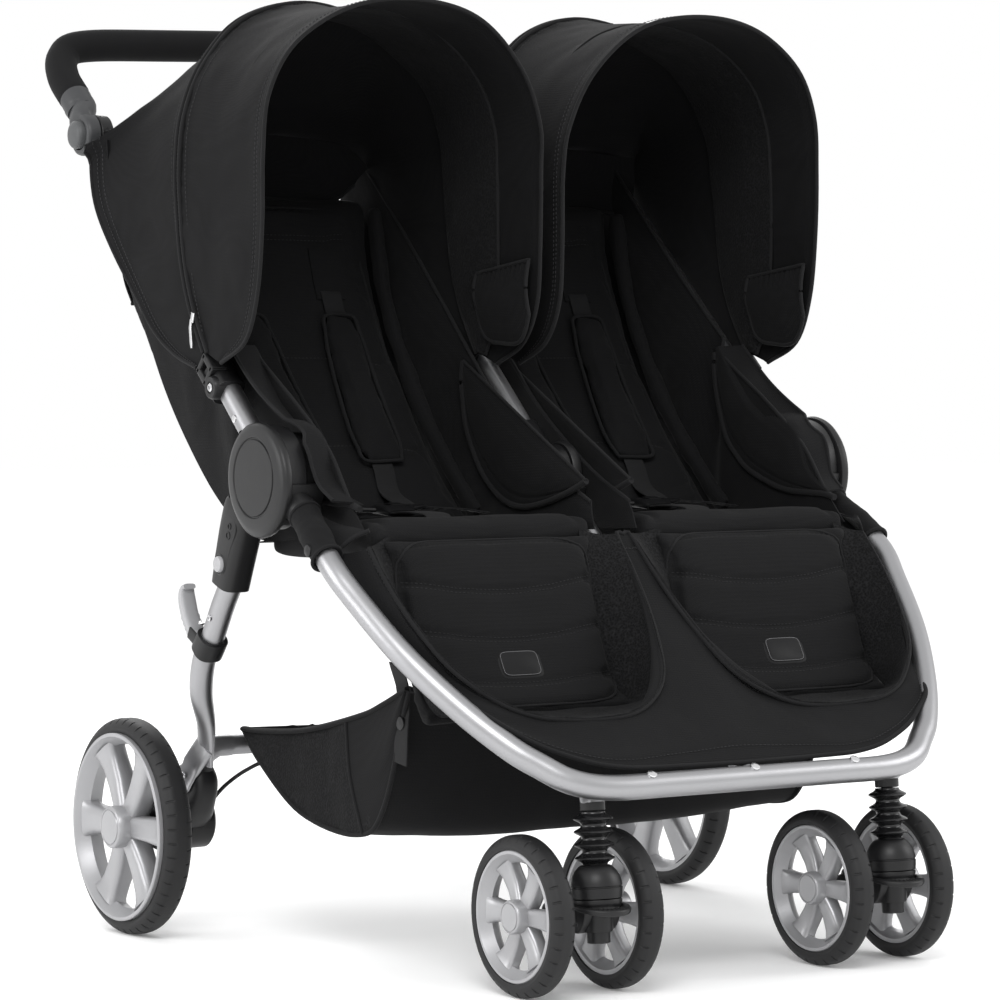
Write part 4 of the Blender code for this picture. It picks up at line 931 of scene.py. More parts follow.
def build_casters():
    for name, side in SIDES:
        head = Vector((side * CASTER_X, CASTER_HEAD_Y, CASTER_HEAD_Z))
        bracket = sweep((head + Vector((0, -0.004, 0.01)), head - POST_DOWN * 0.0035,
                         head + POST_DOWN * 0.0015), [(0.0165, 0.011), (0.013, 0.0115), (0.0118, 0.0118)],
                        ACROSS, 28)
        piece(f"caster_bracket_{name}", bracket, SILVER, "front_frame")
        post = turned(((-0.001, 0.0122), (0.007, 0.0122), (0.0078, 0.0112), (0.008, 0.006),
                       (0.073, 0.006)), head, POST_DOWN, 36)
        piece(f"caster_stem_{name}", post, BLACK_PLASTIC, "front_frame", [f"caster_post_{name}"])
        outer, inner = [], []
        pitch = (BELLOWS_FOOT - BELLOWS_TOP) / BELLOWS_FOLDS
        for k in range(BELLOWS_FOLDS * 12 + 1):
            d = BELLOWS_TOP + pitch * k / 12
            wave = 0.5 - 0.5 * math.cos(TAU * k / 12)
            outer.append((d, 0.0122 + 0.0074 * wave ** 1.5))
            inner.append((d, 0.0078))
        bellows = piece(f"bellows_rings_{name}", ring(outer + inner[::-1], head, POST_DOWN, 48), RUBBER,
                        "front_frame", [f"bellows_{name}"], angle=60)
        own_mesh(bellows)
        collar = turned(((0.0605, 0.008), (0.0605, 0.0145), (0.062, 0.0168), (0.066, 0.0205),
                         (0.071, 0.0235), (0.0765, 0.0252), (0.08, 0.0257), (0.0806, 0.0248),
                         (0.0816, 0.0248), (0.082, 0.0257), (0.087, 0.0255), (0.0918, 0.025),
                         (0.0918, 0.006)), head, POST_DOWN, 56)
        piece(f"caster_cap_{name}", collar, BLACK_PLASTIC, f"caster_{name}_collar",
              [f"caster_collar_{name}"])
        build_yoke(name, side, head)


def build_yoke(name, side, head):
    """The swivelling yoke: a post with a foot, a deep arm back to the axle, and the lock's crescent."""
    axle = joint_place(f"caster_wheel_{name}_outer_spin")
    axle = Vector((side * CASTER_X, axle.y, axle.z))
    column = turned(((0.093, 0.008), (0.093, 0.0245), (0.0945, 0.025), (0.1, 0.0235),
                     (0.104, 0.019), (0.106, 0.015), (0.123, 0.0146), (0.1245, 0.0138),
                     (0.1245, 0.0118), (0.135, 0.0114), (0.1358, 0.01), (0.1358, 0.002)), head,
                    POST_DOWN, 48)
    top = head + POST_DOWN * 0.104
    arm = sweep(curve_through((top + Vector((0, 0.002, 0.003)), top + Vector((0, 0.014, -0.004)),
                               axle + Vector((0, -0.01, 0.006)), axle + Vector((0, 0.006, 0.0))), 4),
                [(0.015, 0.015)] * 4 + [(0.0175, 0.019)] * 5 + [(0.0195, 0.017)] * 3
                + [(0.0195, 0.012)], ACROSS, 32, 3.6)
    hub = turned(((-0.0235, 0.0085), (-0.0225, 0.0115), (0.0225, 0.0115), (0.0235, 0.0085)), axle, ACROSS,
                 36)
    spindle = round_tube((axle - ACROSS * 0.062, axle + ACROSS * 0.062), 0.004, UP, 20)
    cheek = plate([(p.y, p.z) for p in curve_through([top + Vector((0, y, z)) for y,
                                                      z in ((-0.012, 0.01), (0.01, 0.012), (0.026, 0.002),
                                                            (0.024, -0.016), (0.006, -0.022),
                                                            (-0.006, -0.012), (-0.012, 0.01))], 4)[:-1]],
                  top.x - 0.0215, top.x + 0.0215, 0.002, 3)
    piece(f"caster_fork_{name}", merged(column, arm, hub, spindle, cheek), BLACK_PLASTIC,
          f"caster_{name}_yoke", [f"caster_yoke_{name}"])
    dots = []
    for outward in (-1, 1):
        for y, z in ((0.0, 0.004), (0.004, -0.013)):
            dots.append(ring(((0, 0.0011), (0.0006, 0.0013), (0.0006, 0.002), (0, 0.0023)),
                             top + Vector((outward * 0.0213, y, z)), (outward, 0, 0), 16))
    piece(f"caster_fork_pins_{name}", merged(*dots), GREY_PLASTIC, f"caster_{name}_yoke")
    centre = head + POST_DOWN * 0.0975
    lip = []
    for k in range(25):
        angle = math.radians(-184 + 188 * k / 24)
        reach = 0.027 + 0.0062 * math.sin(math.pi * k / 24)
        lip.append(centre + Vector((math.cos(angle) * reach * 0.92, math.sin(angle) * reach + 0.001,
                                    -0.0012 - 0.004 * math.sin(math.pi * k / 24))))
    sizes = [(0.0012 + 0.0036 * math.sin(math.pi * k / 24) ** 0.7,
              0.0018 + 0.0016 * math.sin(math.pi * k / 24)) for k in range(25)]
    sides = [(p - centre).normalized() for p in lip]
    ribs = []
    for k in range(8, 17):
        p = lip[k] + Vector((0, 0, 0.0033))
        ribs.append(sweep((p - sides[k] * 0.003, p + sides[k] * 0.003), (0.0006, 0.0005), UP, 8))
    piece(f"lock_crescent_{name}", merged(sweep(lip, sizes, sides, 20, 3.0), *ribs), HUB_PLASTIC,
          f"caster_{name}_lock", [f"swivel_lock_{name}"])


build_front_tube()
build_hubs()
build_handle_tubes()
build_handlebar()
build_legs()
build_hook()
build_brake()
build_wheels()
build_casters()

# --- fabric helpers -------------------------------------------------------------------------------------


def wrinkle(point, scale, seed=0.0):
    """Soft folds, from about -1 to 1, that differ between places."""
    shifted = Vector(point) * scale + Vector((seed, seed * 1.7, seed * 0.6))
    return noise.noise(shifted) * 1.3 + 0.35 * noise.noise(shifted * 2.7)


def surface(lines, columns, rows):
    """A grid of points through a few lines that each have the same number of points."""
    along = [resampled(curve_through(line, 8), columns) for line in lines]
    grid = []
    for k in range(columns + 1):
        grid.append(resampled(curve_through([line[k] for line in along], 8), rows))
    return [[grid[k][i] for k in range(columns + 1)] for i in range(rows + 1)]


def grid_normals(grid, inside):
    """A normal for each grid point, turned away from the point named inside."""
    last_i, last_j = len(grid) - 1, len(grid[0]) - 1

    def normal(i, j):
        across = grid[min(i + 1, last_i)][j] - grid[max(i - 1, 0)][j]
        along = grid[i][min(j + 1, last_j)] - grid[i][max(j - 1, 0)]
        return across.cross(along).normalized()
    normals = [[normal(i, j) for j in range(last_j + 1)] for i in range(last_i + 1)]
    middle = grid[last_i // 2][last_j // 2]
    if normals[last_i // 2][last_j // 2].dot(middle - Vector(inside)) < 0:
        normals = [[-n for n in row] for row in normals]
    return normals


CLOTH, DOUBLED_CLOTH = 0.0016, 0.0022       # thicknesses of one layer and of two sewn together


def cloth_grid(grid, inside, thickness=CLOTH, relief=None):
    """A thin closed sheet over a grid. relief(u, v, point) lifts it, u and v running from 0 to 1."""
    normals = grid_normals(grid, inside)
    rows, columns = len(grid), len(grid[0])
    bm = bmesh.new()
    outer, inner = [], []
    for i in range(rows):
        outer.append([])
        inner.append([])
        for j in range(columns):
            lift = relief(j / (columns - 1), i / (rows - 1), grid[i][j]) if relief else 0.0
            place = grid[i][j] + normals[i][j] * lift
            outer[-1].append(bm.verts.new(place))
            inner[-1].append(bm.verts.new(place - normals[i][j] * thickness))
    for i in range(rows - 1):
        for j in range(columns - 1):
            bm.faces.new((outer[i][j], outer[i][j + 1], outer[i + 1][j + 1], outer[i + 1][j]))
            bm.faces.new((inner[i + 1][j], inner[i + 1][j + 1], inner[i][j + 1], inner[i][j]))
    rim = [(0, j) for j in range(columns)] + [(i, columns - 1) for i in range(1, rows)]
    rim += [(rows - 1, j) for j in range(columns - 2, -1, -1)] + [(i, 0) for i in range(rows - 2, 0, -1)]
    for (i, j), (m, n) in zip(rim, rim[1:] + rim[:1]):
        bm.faces.new((outer[i][j], inner[i][j], inner[m][n], outer[m][n]))
    return bm


def piping(name, path, radius, body=None, look=None, closed=False, side=UP, flat=1.0):
    """A corded edge along a path."""
    return piece(name, sweep(path, (radius, radius * flat), side, 12, closed=closed), look or BINDING, body)


def stitches(paths, lift, pitch=0.0048, length=0.003, radius=0.00045):
    """Rows of short threads. Each path is a list of (point, normal)."""
    bm = bmesh.new()
    for path in paths:
        points = [p for p, _ in path]
        total = sum((b - a).length for a, b in zip(points, points[1:]))
        count = max(2, int(total / pitch))
        places = resampled(points, count)
        for k in range(count):
            a, b = places[k], places[k + 1]
            way = b - a
            if way.length < 1e-5:
                continue
            way.normalize()
            middle = (a + b) / 2
            near = min(path, key=lambda pair: (pair[0] - middle).length_squared)
            up = near[1]
            cross = way.cross(up).normalized()
            up = cross.cross(way).normalized()
            base = middle + up * lift
            ends = []
            for step, wide in ((-0.5, 0.45), (-0.3, 1.0), (0.3, 1.0), (0.5, 0.45)):
                centre = base + way * length * step
                ends.append([centre + cross * radius * wide * c + up * radius * wide * s
                             for c, s in ((1, 0), (0, 1), (-1, 0), (0, -0.6))])
            loft(ends, bm=bm)
    return bm


def row_with_normals(grid, normals, index, shift=0.0):
    """One row of a grid as (point, normal) pairs, moved towards the next row by shift of a step."""
    i = index if index >= 0 else len(grid) + index
    other = min(max(i + (1 if shift > 0 else -1), 0), len(grid) - 1)
    t = abs(shift)
    return [(a.lerp(b, t), n) for a, b, n in zip(grid[i], grid[other], normals[i])]


# --- padded pieces --------------------------------------------------------------------------------------


def stuffed(name, bm, look, cap, voxel=0.0055, pressure=4.0, anchored=None):
    """A closed form blown up a little by Blender's cloth, as one mesh object with no modifier left on it.
    cap is the furthest that a point may move. anchored(point) is true for points that stay."""
    obj = piece(name, bm, look, None, angle=60)
    remesh = obj.modifiers.new("remesh", "REMESH")
    remesh.mode, remesh.voxel_size = "VOXEL", voxel
    apply_modifiers(obj)
    start = [v.co.copy() for v in obj.data.vertices]
    cloth = obj.modifiers.new("cloth", "CLOTH")
    settings = cloth.settings
    settings.quality = 5
    settings.mass = 0.25
    settings.tension_stiffness = settings.compression_stiffness = 12
    settings.shear_stiffness, settings.bending_stiffness = 8, 0.4
    settings.use_pressure = True
    settings.uniform_pressure_force = pressure
    settings.effector_weights.gravity = 0
    settings.time_scale = 0.7
    cloth.point_cache.frame_start, cloth.point_cache.frame_end = 1, 20
    if anchored:
        group = obj.vertex_groups.new(name="held")
        group.add([v.index for v in obj.data.vertices if anchored(v.co)], 1.0, "REPLACE")
        settings.vertex_group_mass = "held"
    for number in range(1, 21):
        bpy.context.scene.frame_set(number)
    apply_modifiers(obj)
    bpy.context.scene.frame_set(1)
    for vert, before in zip(obj.data.vertices, start):
        step = vert.co - before
        if step.length > cap:
            vert.co = before + step.normalized() * cap
    finer = obj.modifiers.new("finer", "SUBSURF")
    finer.levels = finer.render_levels = 1
    apply_modifiers(obj)
    obj.data.shade_smooth()
    return obj


def apply_modifiers(obj):
    graph = bpy.context.evaluated_depsgraph_get()
    graph.update()
    mesh = bpy.data.meshes.new_from_object(obj.evaluated_get(graph))
    old = obj.data
    obj.modifiers.clear()
    obj.vertex_groups.clear()
    obj.data = mesh
    bpy.data.meshes.remove(old)
    if not mesh.materials:
        mesh.materials.append(None)


def sewn(obj, lines, depth, width):
    """Sewn channels: the surface sinks along each line of points."""
    tree = KDTree(sum(len(line) for line in lines))
    count = 0
    for line in lines:
        for point in line:
            tree.insert(point, count)
            count += 1
    tree.balance()
    mesh = obj.data
    normals = [v.normal.copy() for v in mesh.vertices]
    for vert, normal in zip(mesh.vertices, normals):
        near = tree.find(vert.co)[2]
        if near < 3 * width:
            vert.co -= normal * depth * math.exp(-(near / width) ** 2)
    mesh.update()


def creased(obj, depth, scale, seed, along=(1, 1, 1)):
    """Small creases over a pad."""
    mesh = obj.data
    normals = [v.normal.copy() for v in mesh.vertices]
    for vert, normal in zip(mesh.vertices, normals):
        stretched = Vector(vert.co[k] * along[k] for k in range(3))
        vert.co += normal * depth * wrinkle(stretched, scale, seed)
    mesh.update()


def on_surface(obj, points, direction, lift=0.0):
    """(point, normal) pairs where lines along direction first meet the object."""
    tree = BVHTree.FromObject(obj, bpy.context.evaluated_depsgraph_get())
    way = Vector(direction).normalized()
    found = []
    for p in points:
        place, normal = tree.ray_cast(Vector(p) - way * 0.12, way)[:2]
        if place is not None:
            found.append((place + normal * lift, normal))
    return found


def evened(points, rounds):
    """The same points with the small steps between them smoothed away; the two ends stay."""
    points = list(points)
    for _ in range(rounds):
        inner = [(a + b * 2 + c) / 4 for a, b, c in zip(points, points[1:], points[2:])]
        points = points[:1] + inner + points[-1:]
    return points


def other_side(obj, name):
    """A mirrored copy across the stroller's middle."""
    mesh = obj.data.copy()
    mesh.transform(Matrix.Scale(-1, 4, (1, 0, 0)))
    mesh.flip_normals()
    copy = bpy.data.objects.new(name, mesh)
    bpy.context.collection.objects.link(copy)
    return copy


def both_sides(obj, stem, bodies, nodes=None):
    """The right-hand object and its mirror image, on their bodies when bodies is a name, else left in place
    with their transforms baked. bodies and nodes are written with {}.
    """
    obj.name = obj.data.name = f"{stem}_right"
    twin = other_side(obj, f"{stem}_left")
    for target, name in ((obj, "right"), (twin, "left")):
        if isinstance(bodies, str):
            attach(target, bodies.format(name))
        else:
            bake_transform(target)
        if nodes:
            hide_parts(nodes.format(name))
    return obj, twin


def pair(stem, bm, look, bodies, nodes=None, angle=38):
    """One right-hand mesh and its mirror image, finished."""
    return both_sides(piece(stem, bm, look, None, angle=angle), stem, bodies, nodes)


def pair_piping(stem, path, radius, bodies, closed=False, side=UP):
    """A corded edge on the right, and its mirror image."""
    return both_sides(piping(stem, path, radius, closed=closed, side=side), stem, bodies)


# --- seats ----------------------------------------------------------------------------------------------

SEAT_INNER_X, SEAT_OUTER_X, SEAT_MIDDLE_X = 0.026, 0.306, 0.166
SEAT_LINE = ((-0.2065, 0.452), (-0.19, 0.459), (-0.15, 0.457), (-0.07, 0.45), (0.0135, 0.444))
BACK_LINE = ((0.0175, 0.444), (0.06, 0.485), (0.118, 0.545), (0.17, 0.615), (0.215, 0.7),
             (0.242, 0.802))
CALF_LINE = ((-0.2125, 0.446), (-0.23, 0.39), (-0.252, 0.33), (-0.272, 0.295), (-0.302, 0.272))


def pad_grid(line, low_x, high_x, columns, rows, narrow=0.0):
    """A grid over a (y, z) line and across x. narrow draws the far end in."""
    path = resampled(curve_through(upright(line), 10), rows)
    grid = []
    for i, p in enumerate(path):
        draw = narrow * smooth((i / rows - 0.55) / 0.45)
        grid.append([Vector((lerp(low_x + draw, high_x - draw, k / columns), p.y, p.z))
                     for k in range(columns + 1)])
    return grid


def pad_solid(line, low_x, high_x, thickness, inside, narrow=0.0, crown=0.006):
    """A closed pad over a line, thickest in its middle."""
    grid = pad_grid(line, low_x, high_x, 16, 16, narrow)

    def swell(u, v, point):
        edge = min(u, 1 - u, v, 1 - v) / 0.18
        return crown * (smooth(edge) - 1)
    return cloth_grid(grid, inside, thickness, swell)


def across_line(line, t, low_x, high_x, bow=0.0, count=40):
    """A line across a pad at the share t of its length, its middle lower by bow times the length."""
    path = resampled(curve_through(upright(line), 10), 200)
    found = []
    for k in range(count + 1):
        u = k / count
        at = max(0, min(200, int(round(200 * (t + bow * math.sin(math.pi * u))))))
        found.append(Vector((lerp(low_x, high_x, u), path[at].y, path[at].z)))
    return found


def rounded_loop(line, low_x, high_x, first, last, count=24):
    """A rounded rectangle on a pad, from the share first to the share last of its length."""
    path = resampled(curve_through(upright(line), 10), 400)
    found = []
    for k in range(count * 4 + 1):
        angle = TAU * k / (count * 4)
        c, s = math.cos(angle), math.sin(angle)
        u = 0.5 + 0.5 * math.copysign(abs(c) ** 0.35, c)
        v = 0.5 + 0.5 * math.copysign(abs(s) ** 0.35, s)
        p = path[int(round(400 * lerp(first, last, v)))]
        found.append(Vector((lerp(low_x, high_x, u), p.y, p.z)))
    return found


def sew_on(obj, stem, lines, direction, body, lift=0.0002):
    """Stitches along lines over the right-hand pad, and their mirror image."""
    rows = [pairs for pairs in (on_surface(obj, line, direction, lift) for line in lines) if len(pairs) > 3]
    pair(stem, stitches(rows, 0.0001), THREAD, body)


def beside(line, shift):
    return [p + shift for p in line]


def build_seats():
    low, high = SEAT_INNER_X + 0.004, SEAT_OUTER_X - 0.004
    ahead = Vector((0, -1, 0.25))
    board = plate([(-0.2035, 0.436), (-0.199, 0.456), (-0.155, 0.4545), (-0.07, 0.448),
                   (0.01, 0.442), (0.007, 0.42), (-0.155, 0.422), (-0.198, 0.427)], low, high,
                  0.006, 3)
    seat = stuffed("seat", board, FABRIC, 0.005)
    lines = [across_line(SEAT_LINE, t, low + 0.012, high - 0.012, -0.03) for t in (0.3, 0.62)]
    lines += [upright(SEAT_LINE, x) for x in (low + 0.02, high - 0.02)]
    lines = [resampled(curve_through(line, 4), 90) for line in lines]
    sewn(seat, lines, 0.0038, 0.005)
    creased(seat, 0.0008, 22, 3.0)
    sew_on(seat, "seat_stitching", lines[:2], -UP, "front_frame")
    both_sides(seat, "seat_cushion", "front_frame", "seat_base_{}")

    calf = stuffed("calf", pad_solid(CALF_LINE, low + 0.011, high - 0.011, 0.0115,
                                     Vector((SEAT_MIDDLE_X, 0, 0.25)), 0.0, 0.0045), FABRIC, 0.006, 0.005)
    inner, outer = low + 0.016, high - 0.016
    channels = [across_line(CALF_LINE, t, inner, outer, bow) for t,
                bow in ((0.25, 0.07), (0.5, 0.07), (0.76, 0.06))]
    edge = rounded_loop(CALF_LINE, low + 0.018, high - 0.018, 0.03, 0.965)
    sewn(calf, [resampled(line, 120) for line in channels + [edge]], 0.0052, 0.006)
    creased(calf, 0.0005, 30, 9.0, (0.6, 1, 1))
    rows = []
    for line in channels:
        rows += [beside(line, Vector((0, -0.001, 0.0026))), beside(line, Vector((0, 0.001, -0.0026)))]
    sew_on(calf, "calf_stitching", rows, -ahead, "front_frame")
    calf_edge = [p for p, _ in on_surface(calf, edge, -ahead, 0.0)]
    badge_middle = on_surface(calf, [across_line(CALF_LINE, 0.7, SEAT_MIDDLE_X, SEAT_MIDDLE_X)[0]],
                              -ahead)[0]
    build_badge(*badge_middle)
    both_sides(calf, "calf_cushion", "front_frame", "calf_rest_{}")
    pair_piping("calf_piping", calf_edge[:-1], 0.0014, "front_frame", closed=True)
    # A strip closes the gap between the cushion and the backrest's foot.
    rows = [upright(((0.002, 0.434), (0.018, 0.431), (0.036, 0.43)), x)
            for x in (low, SEAT_MIDDLE_X, high)]
    pair("seat_bight", cloth_grid(surface(rows, 40, 8), (SEAT_MIDDLE_X, 0, 0), CLOTH), FABRIC,
         "front_frame")
    build_backrest_pads(low, high, ahead)


def build_badge(place, normal):
    """A plain rounded rubber patch with a raised rim, left blank."""
    first = ACROSS
    second = normal.cross(first).normalized()
    shapes = []
    for lift, half_a, half_b, drop in ((0.0006, 0.0255, 0.0165, 0.0012), (0.0014, 0.023, 0.014, 0.0012)):
        rings = []
        for depth, inset in ((-drop, 0.0), (lift - 0.0004, 0.0), (lift, 0.0006)):
            rings.append([place + normal * depth + first * u + second * v
                          for u, v in section(48, half_a - inset, half_b - inset, 6)])
        shapes.append(loft(rings))
    pair("seat_badge", merged(*shapes), BADGE, "front_frame")
    line = [place + normal * 0.0011 + first * u + second * v for u, v in section(72, 0.0218, 0.013, 6)]
    rim = sweep(line, (0.00035, 0.00035), normal, 8, closed=True)
    pair("seat_badge_line", rim, BADGE_RIM, "front_frame")


def build_backrest_pads(low, high, ahead):
    front = [(0.024, 0.448), (0.064, 0.483), (0.122, 0.543), (0.174, 0.613), (0.219, 0.699),
             (0.246, 0.801)]
    back = [(0.266, 0.804), (0.328, 0.783), (0.342, 0.74), (0.315, 0.674), (0.246, 0.581),
            (0.178, 0.527), (0.0895, 0.456), (0.044, 0.436)]
    smooth_back = [(p.y, p.z) for p in curve_through(upright(back), 4)]
    smooth_front = [(p.y, p.z) for p in curve_through(upright(front), 4)]
    shell = stuffed("shell", plate(smooth_front + smooth_back, low + 0.004, high - 0.004, 0.012, 4), FABRIC,
                    0.006, 0.0065, 3.0)
    seam = [Vector((x, y, z)) for x in (low + 0.006,) for y,
            z in ((0.256, 0.802), (0.285, 0.74), (0.26, 0.67), (0.215, 0.59), (0.15, 0.525),
                  (0.07, 0.46))]
    level = [[Vector((x, 0.352, 0.7)) for x in (low, (low + high) / 2, high)],
             [Vector((x, 0.22, 0.556)) for x in (low, (low + high) / 2, high)]]
    lines = [resampled(curve_through(line, 6), 120) for line in [seam,
                                                                 beside(seam, ACROSS * (high - low - 0.012))]
             + level]
    sewn(shell, lines, 0.003, 0.006)
    creased(shell, 0.0026, 9, 5.0, (1, 0.7, 1.2))
    both_sides(shell, "seat_shell", "backrest_{}", "backrest_{}")

    pad = stuffed("pad", pad_solid(BACK_LINE, low + 0.01, high - 0.01, 0.01,
                                   Vector((SEAT_MIDDLE_X, 0.6, 0.5)), 0.01, 0.004), FABRIC, 0.006)
    edge = rounded_loop(BACK_LINE, low + 0.02, high - 0.02, 0.03, 0.975)
    lines = [across_line(BACK_LINE, 0.9, low + 0.012, high - 0.012, -0.012),
             across_line(BACK_LINE, 0.52, low + 0.012, high - 0.012, 0.03),
             across_line(BACK_LINE, 0.24, low + 0.012, high - 0.012, 0.03)]
    sewn(pad, [resampled(line, 120) for line in lines + [edge]], 0.0042, 0.0055)
    creased(pad, 0.0014, 20, 7.0, (1, 1, 0.7))
    sew_on(pad, "back_stitching", [beside(lines[0], Vector((0, 0, 0.003))),
                                   beside(lines[0], Vector((0, 0, -0.003))), lines[1], lines[2]], -ahead,
           "backrest_{}")
    trim_path = [p for p, _ in on_surface(pad, edge, -ahead, 0.0004)]
    pair_piping("back_piping", trim_path[:-1], 0.0016, "backrest_{}", closed=True)
    harness(pad, ahead)
    both_sides(pad, "back_cushion", "backrest_{}", None)
    for x in (low + 0.006, high - 0.006):
        line = [across_line(BACK_LINE, t, x, 0)[0] + ahead.normalized() * 0.006 for t in
                (0.02, 0.15, 0.3, 0.45, 0.6, 0.75, 0.9, 0.97)]
        wing = stuffed("wing", sweep(curve_through(line, 4), (0.0062, 0.012), ACROSS, 20, 2.4), FABRIC,
                       0.003, 0.005)
        creased(wing, 0.0022, 24, x * 20, (1, 1, 0.8))
        both_sides(wing, "back_wing_inner" if x < SEAT_MIDDLE_X else "back_wing_outer", "backrest_{}", None)
    rear_pocket(low, high)


# Ends of the shoulder pads, as shares of the backrest's length, and half the width and thickness of webbing.
SHOULDER_TOP, SHOULDER_FOOT = 0.665, 0.2
SHOULDER_WEB, HIP_WEB, CROTCH_WEB = (0.0125, 0.001), (0.011, 0.001), (0.015, 0.0011)


def harness(pad, ahead):
    """Two shoulder pads with webbing, a buckle over the seat, a crotch strap and two hip straps."""
    for number, (top_x, low_x) in enumerate(((0.108, 0.1215), (0.224, 0.2105))):
        line = [across_line(BACK_LINE, lerp(SHOULDER_TOP, SHOULDER_FOOT, k / 10), lerp(top_x, low_x, k / 10),
                            0)[0] for k in range(11)]
        places = on_surface(pad, line, -ahead, 0.0085)
        path = evened([p for p, _ in places], 6)
        sizes = []
        for k in range(len(path)):
            t = k / (len(path) - 1)
            round_end = math.sqrt(max(0.0, 1 - (abs(t - 0.5) * 2) ** 8))
            sizes.append((0.0265 * max(0.72, round_end) * lerp(0.82, 1.1, t),
                          0.0074 * max(0.5, round_end)))
        form = stuffed("shoulder", sweep(path, sizes, ACROSS, 24, 3.0), FABRIC, 0.004, 0.0045, 4.0)
        creased(form, 0.0016, 38, 2.0 + number, (0.7, 1.1, 1.1))
        border = []
        for side in (-1, 1):
            border += [p + ACROSS * side * (s[0] + 0.0012) - ahead * 0.001 for p,
                       s in zip(path, sizes)][:: side]
        trim = resampled(curve_through(border + border[:1], 5), 150)
        pair_piping(f"shoulder_binding_{number}", trim[:-1], 0.0021, "backrest_{}", closed=True)
        both_sides(form, f"shoulder_pad_{number}", "backrest_{}", None)
        low_end = [across_line(BACK_LINE, t, lerp(low_x, SEAT_MIDDLE_X, pull), 0)[0]
                   for t, pull in ((0.24, 0.0), (0.17, 0.1), (0.1, 0.22))]
        under = [p for p, _ in on_surface(pad, low_end, -ahead, 0.0042)]
        under.append(Vector((lerp(low_x, SEAT_MIDDLE_X, 0.3), 0.004, 0.466)))
        strap = sweep(curve_through(under, 5), SHOULDER_WEB, ACROSS, 16, 6)
        high_end = [across_line(BACK_LINE, t, x, 0)[0] for t,
                    x in ((0.63, top_x), (0.7, top_x), (0.735, top_x))]
        over = [p for p, _ in on_surface(pad, high_end, -ahead, 0.003)]
        over.append(over[-1] + Vector((0, 0.007, 0.003)))
        strap = merged(strap, sweep(curve_through(over, 4), SHOULDER_WEB, ACROSS, 16, 6))
        pair(f"shoulder_strap_{number}", strap, WEBBING, "backrest_{}")
        patch = [across_line(BACK_LINE, lerp(0.72, 0.86, v), top_x - 0.018, top_x + 0.018, 0, 6) for v in
                 (0, 0.25, 0.5, 0.75, 1)]
        patch = [[p for p, _ in on_surface(pad, line, -ahead, 0.0022)] for line in patch]
        pair(f"strap_patch_{number}", cloth_grid(surface(patch, 12, 16), (SEAT_MIDDLE_X, 0.6, 0.5), 0.0018),
             FABRIC, "backrest_{}")
    body = sweep(upright(((-0.042, 0.459), (-0.034, 0.4615), (-0.012, 0.4625),
                                                             (-0.002, 0.461)), SEAT_MIDDLE_X),
                 [(0.0165, 0.0036), (0.0195, 0.0056), (0.0195, 0.0056), (0.015, 0.004)], ACROSS, 28, 3.4)
    press = sweep(upright(((-0.032, 0.4672), (-0.024, 0.4686), (-0.016, 0.4682)), SEAT_MIDDLE_X),
                  [(0.007, 0.001), (0.0085, 0.0014), (0.007, 0.001)], ACROSS, 20, 3)
    prongs = [sweep([Vector((SEAT_MIDDLE_X + s * x, y, z)) for x, y, z in
                     ((0.016, -0.014, 0.462), (0.03, -0.008, 0.4625), (0.046, -0.002, 0.464))],
                    [(0.0075, 0.0026), (0.0085, 0.003), (0.011, 0.0026)], BEHIND, 16, 4) for s in (-1, 1)]
    pair("harness_buckle", merged(body, press, *prongs), BLACK_PLASTIC, "front_frame")
    crotch = curve_through([Vector((SEAT_MIDDLE_X, y, z)) for y, z in
                            ((-0.115, 0.456), (-0.105, 0.46), (-0.07, 0.461), (-0.038, 0.459))], 5)
    hips = [sweep(curve_through([Vector((SEAT_MIDDLE_X + s * x, y, z)) for x, y,
                                 z in ((0.044, -0.002, 0.464), (0.07, -0.002, 0.462),
                                       (0.098, -0.006, 0.46), (0.124, -0.012, 0.456))], 5),
                  HIP_WEB, BEHIND, 16, 6) for s in (-1, 1)]
    strap = merged(sweep(crotch, CROTCH_WEB, ACROSS, 16, 6), *hips)
    pair("lap_straps", strap, WEBBING, "front_frame")


def rear_pocket(low, high):
    """The flap that bulges behind the top of each backrest."""
    lines = []
    for x, out in ((low + 0.012, 0.0), (low + 0.06, 0.024), ((low + high) / 2, 0.034),
                   (high - 0.06, 0.024), (high - 0.012, 0.0)):
        lines.append([Vector((x, y + out * bulge, z)) for y, z,
                      bulge in ((0.33, 0.79, 0.3), (0.35, 0.766, 0.9), (0.356, 0.736, 1.0),
                                (0.348, 0.706, 0.8), (0.331, 0.684, 0.2))])

    def folds(u, v, point):
        return 0.0016 * wrinkle(point, 26, 4.0) + 0.001 * math.sin(TAU * 9 * v) * smooth((u - 0.7) / 0.3)
    grid = surface(lines, 30, 44)
    pair("rear_pocket", cloth_grid(grid, (SEAT_MIDDLE_X, 0.2, 0.7), 0.0018, folds), FABRIC, "backrest_{}")
    pair_piping("rear_pocket_binding", [row[-1] for row in grid], 0.002, "backrest_{}")


# --- canopies -------------------------------------------------------------------------------------------

